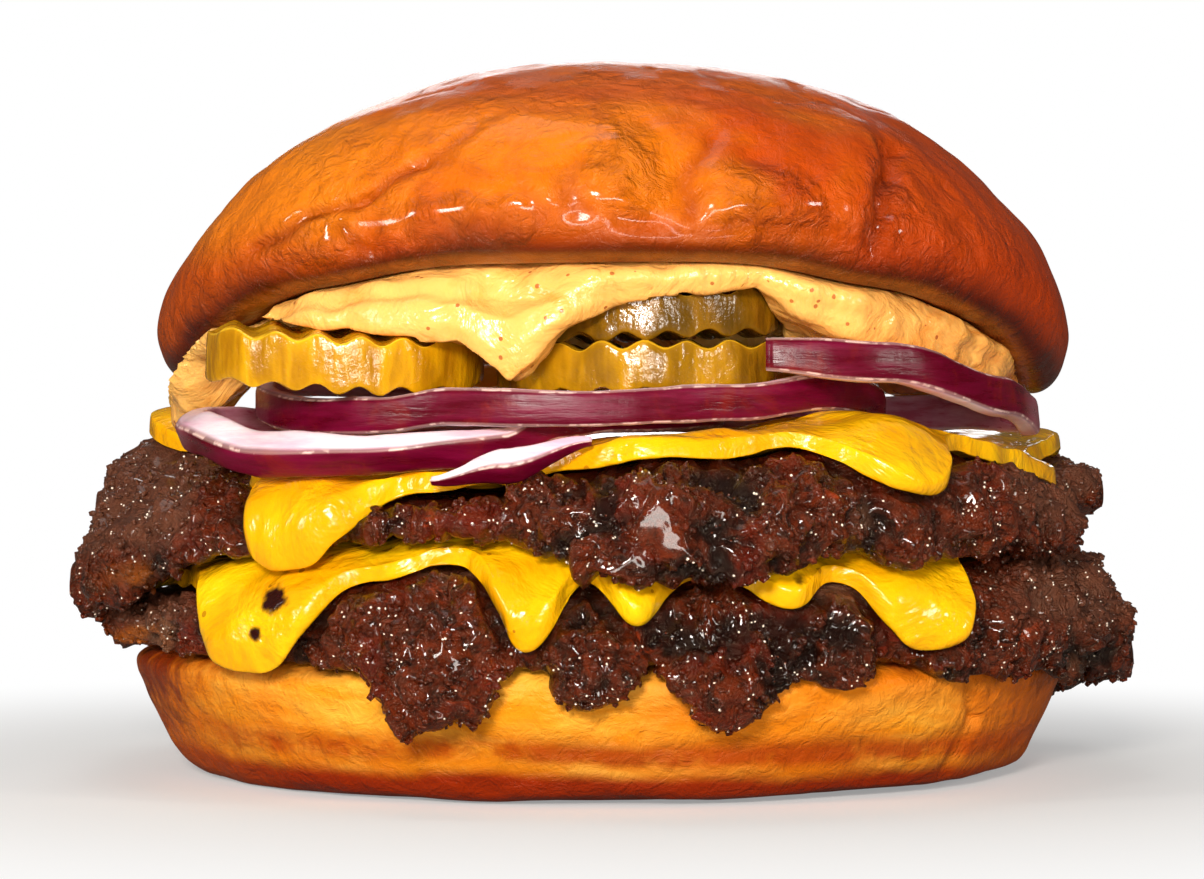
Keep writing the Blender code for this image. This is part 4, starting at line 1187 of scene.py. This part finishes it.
def make_stage(settings):
    scene = bpy.context.scene
    scene.view_settings.view_transform = 'Standard'
    make_floor()
    make_world(settings.surround)
    for name, place, size, share, tint in LAMPS:
        add_light(name, place, size, share * settings.key_power, tint)
    camera = bpy.data.cameras.new("camera")
    camera.sensor_width = 36.0
    camera.lens = CAMERA_LENS
    obj = bpy.data.objects.new("camera", camera)
    bpy.context.scene.collection.objects.link(obj)
    obj.location = (0.0, CAMERA_Y, CAMERA_Z)
    obj.rotation_euler = (math.radians(90.0), 0.0, 0.0)
    scene.camera = obj


# Add-on

def colour_property(name, description, default):
    return bpy.props.StringProperty(name=name, description=description, default=default)


class BurgerSettings(bpy.types.PropertyGroup):
    """Sizes and colours that a user would change."""

    crust: colour_property("Crust", "Main colour of the crown, as a hex code", "#bc4403")
    crust_light: colour_property("Light crust", "Lighter patches of the crown", "#dc7208")
    crust_deep: colour_property("Deep crust", "Darker mottling of the crown", "#8e3006")
    meat: colour_property("Meat", "Seared beef in the light", "#380e03")
    meat_dark: colour_property("Char", "Darkest crust of the beef", "#150402")
    cheese: colour_property("Cheese", "Melted cheese", "#fcc40a")
    cheese_deep: colour_property("Thick cheese", "Cheese where it is thick", "#f0a404")
    onion: colour_property("Onion skin", "Purple skin of the onion", "#4e0012")
    sauce: colour_property("Sauce", "Burger sauce", "#fcbc62")
    crag_depth: bpy.props.FloatProperty(
        name="Crag depth", description="How deep the crags of the beef are",
        default=1.0, min=0.0, max=1.5)
    key_power: bpy.props.FloatProperty(
        name="Key light", description="Power of the largest lamp", default=4.2, min=0.0,
        unit='POWER')
    surround: bpy.props.FloatProperty(
        name="Surround", description="Light from the white surround", default=0.07, min=0.0)


class BURGER_OT_crown(bpy.types.Operator):
    """Make the glossy crown of the bun"""
    bl_idname = "burger.crown"
    bl_label = "Crown"

    def execute(self, context):
        make_crown(context.scene.burger)
        return {'FINISHED'}


class BURGER_OT_heel(bpy.types.Operator):
    """Make the heel of the bun"""
    bl_idname = "burger.heel"
    bl_label = "Heel"

    def execute(self, context):
        make_heel()
        return {'FINISHED'}


class BURGER_OT_patties(bpy.types.Operator):
    """Make the two smashed patties, their crumbs and their drops of fat"""
    bl_idname = "burger.patties"
    bl_label = "Patties"

    def execute(self, context):
        make_patties(context.scene.burger)
        return {'FINISHED'}


class BURGER_OT_cheeses(bpy.types.Operator):
    """Make the two slices of melted cheese"""
    bl_idname = "burger.cheeses"
    bl_label = "Cheese"

    def execute(self, context):
        make_cheeses(context.scene.burger)
        return {'FINISHED'}


class BURGER_OT_onions(bpy.types.Operator):
    """Make the red onion rings"""
    bl_idname = "burger.onions"
    bl_label = "Onion"

    def execute(self, context):
        make_onions(context.scene.burger)
        return {'FINISHED'}


class BURGER_OT_pickles(bpy.types.Operator):
    """Make the three crinkle-cut pickle slices"""
    bl_idname = "burger.pickles"
    bl_label = "Pickles"

    def execute(self, context):
        for node, size in PICKLES.items():
            make_pickle(node, size)
        return {'FINISHED'}


class BURGER_OT_sauce(bpy.types.Operator):
    """Make the burger sauce"""
    bl_idname = "burger.sauce"
    bl_label = "Sauce"

    def execute(self, context):
        make_sauce(context.scene.burger)
        return {'FINISHED'}


class BURGER_OT_stage(bpy.types.Operator):
    """Set the floor, the lights and the camera"""
    bl_idname = "burger.stage"
    bl_label = "Studio"

    def execute(self, context):
        make_stage(context.scene.burger)
        return {'FINISHED'}


STEPS = (BURGER_OT_crown, BURGER_OT_heel, BURGER_OT_patties, BURGER_OT_cheeses,
         BURGER_OT_onions, BURGER_OT_pickles, BURGER_OT_sauce, BURGER_OT_stage)


class BURGER_PT_panel(bpy.types.Panel):
    """Lists the burger's settings and steps"""
    bl_idname = "BURGER_PT_panel"
    bl_label = "Double cheeseburger"
    bl_space_type = 'VIEW_3D'
    bl_region_type = 'UI'
    bl_category = "Burger"

    def draw(self, context):
        column = self.layout.column()
        for name in BurgerSettings.__annotations__:
            column.prop(context.scene.burger, name)
        for step in STEPS:
            column.operator(step.bl_idname)


CLASSES = (BurgerSettings, *STEPS, BURGER_PT_panel)


def register():
    for made in CLASSES:
        bpy.utils.register_class(made)
    bpy.types.Scene.burger = bpy.props.PointerProperty(type=BurgerSettings)


def unregister():
    del bpy.types.Scene.burger
    for made in reversed(CLASSES):
        bpy.utils.unregister_class(made)


def main():
    register()
    bpy.ops.burger.crown()
    bpy.ops.burger.heel()
    bpy.ops.burger.patties()
    bpy.ops.burger.cheeses()
    bpy.ops.burger.onions()
    bpy.ops.burger.pickles()
    bpy.ops.burger.sauce()
    bpy.ops.burger.stage()


if __name__ == "__main__":
    main()
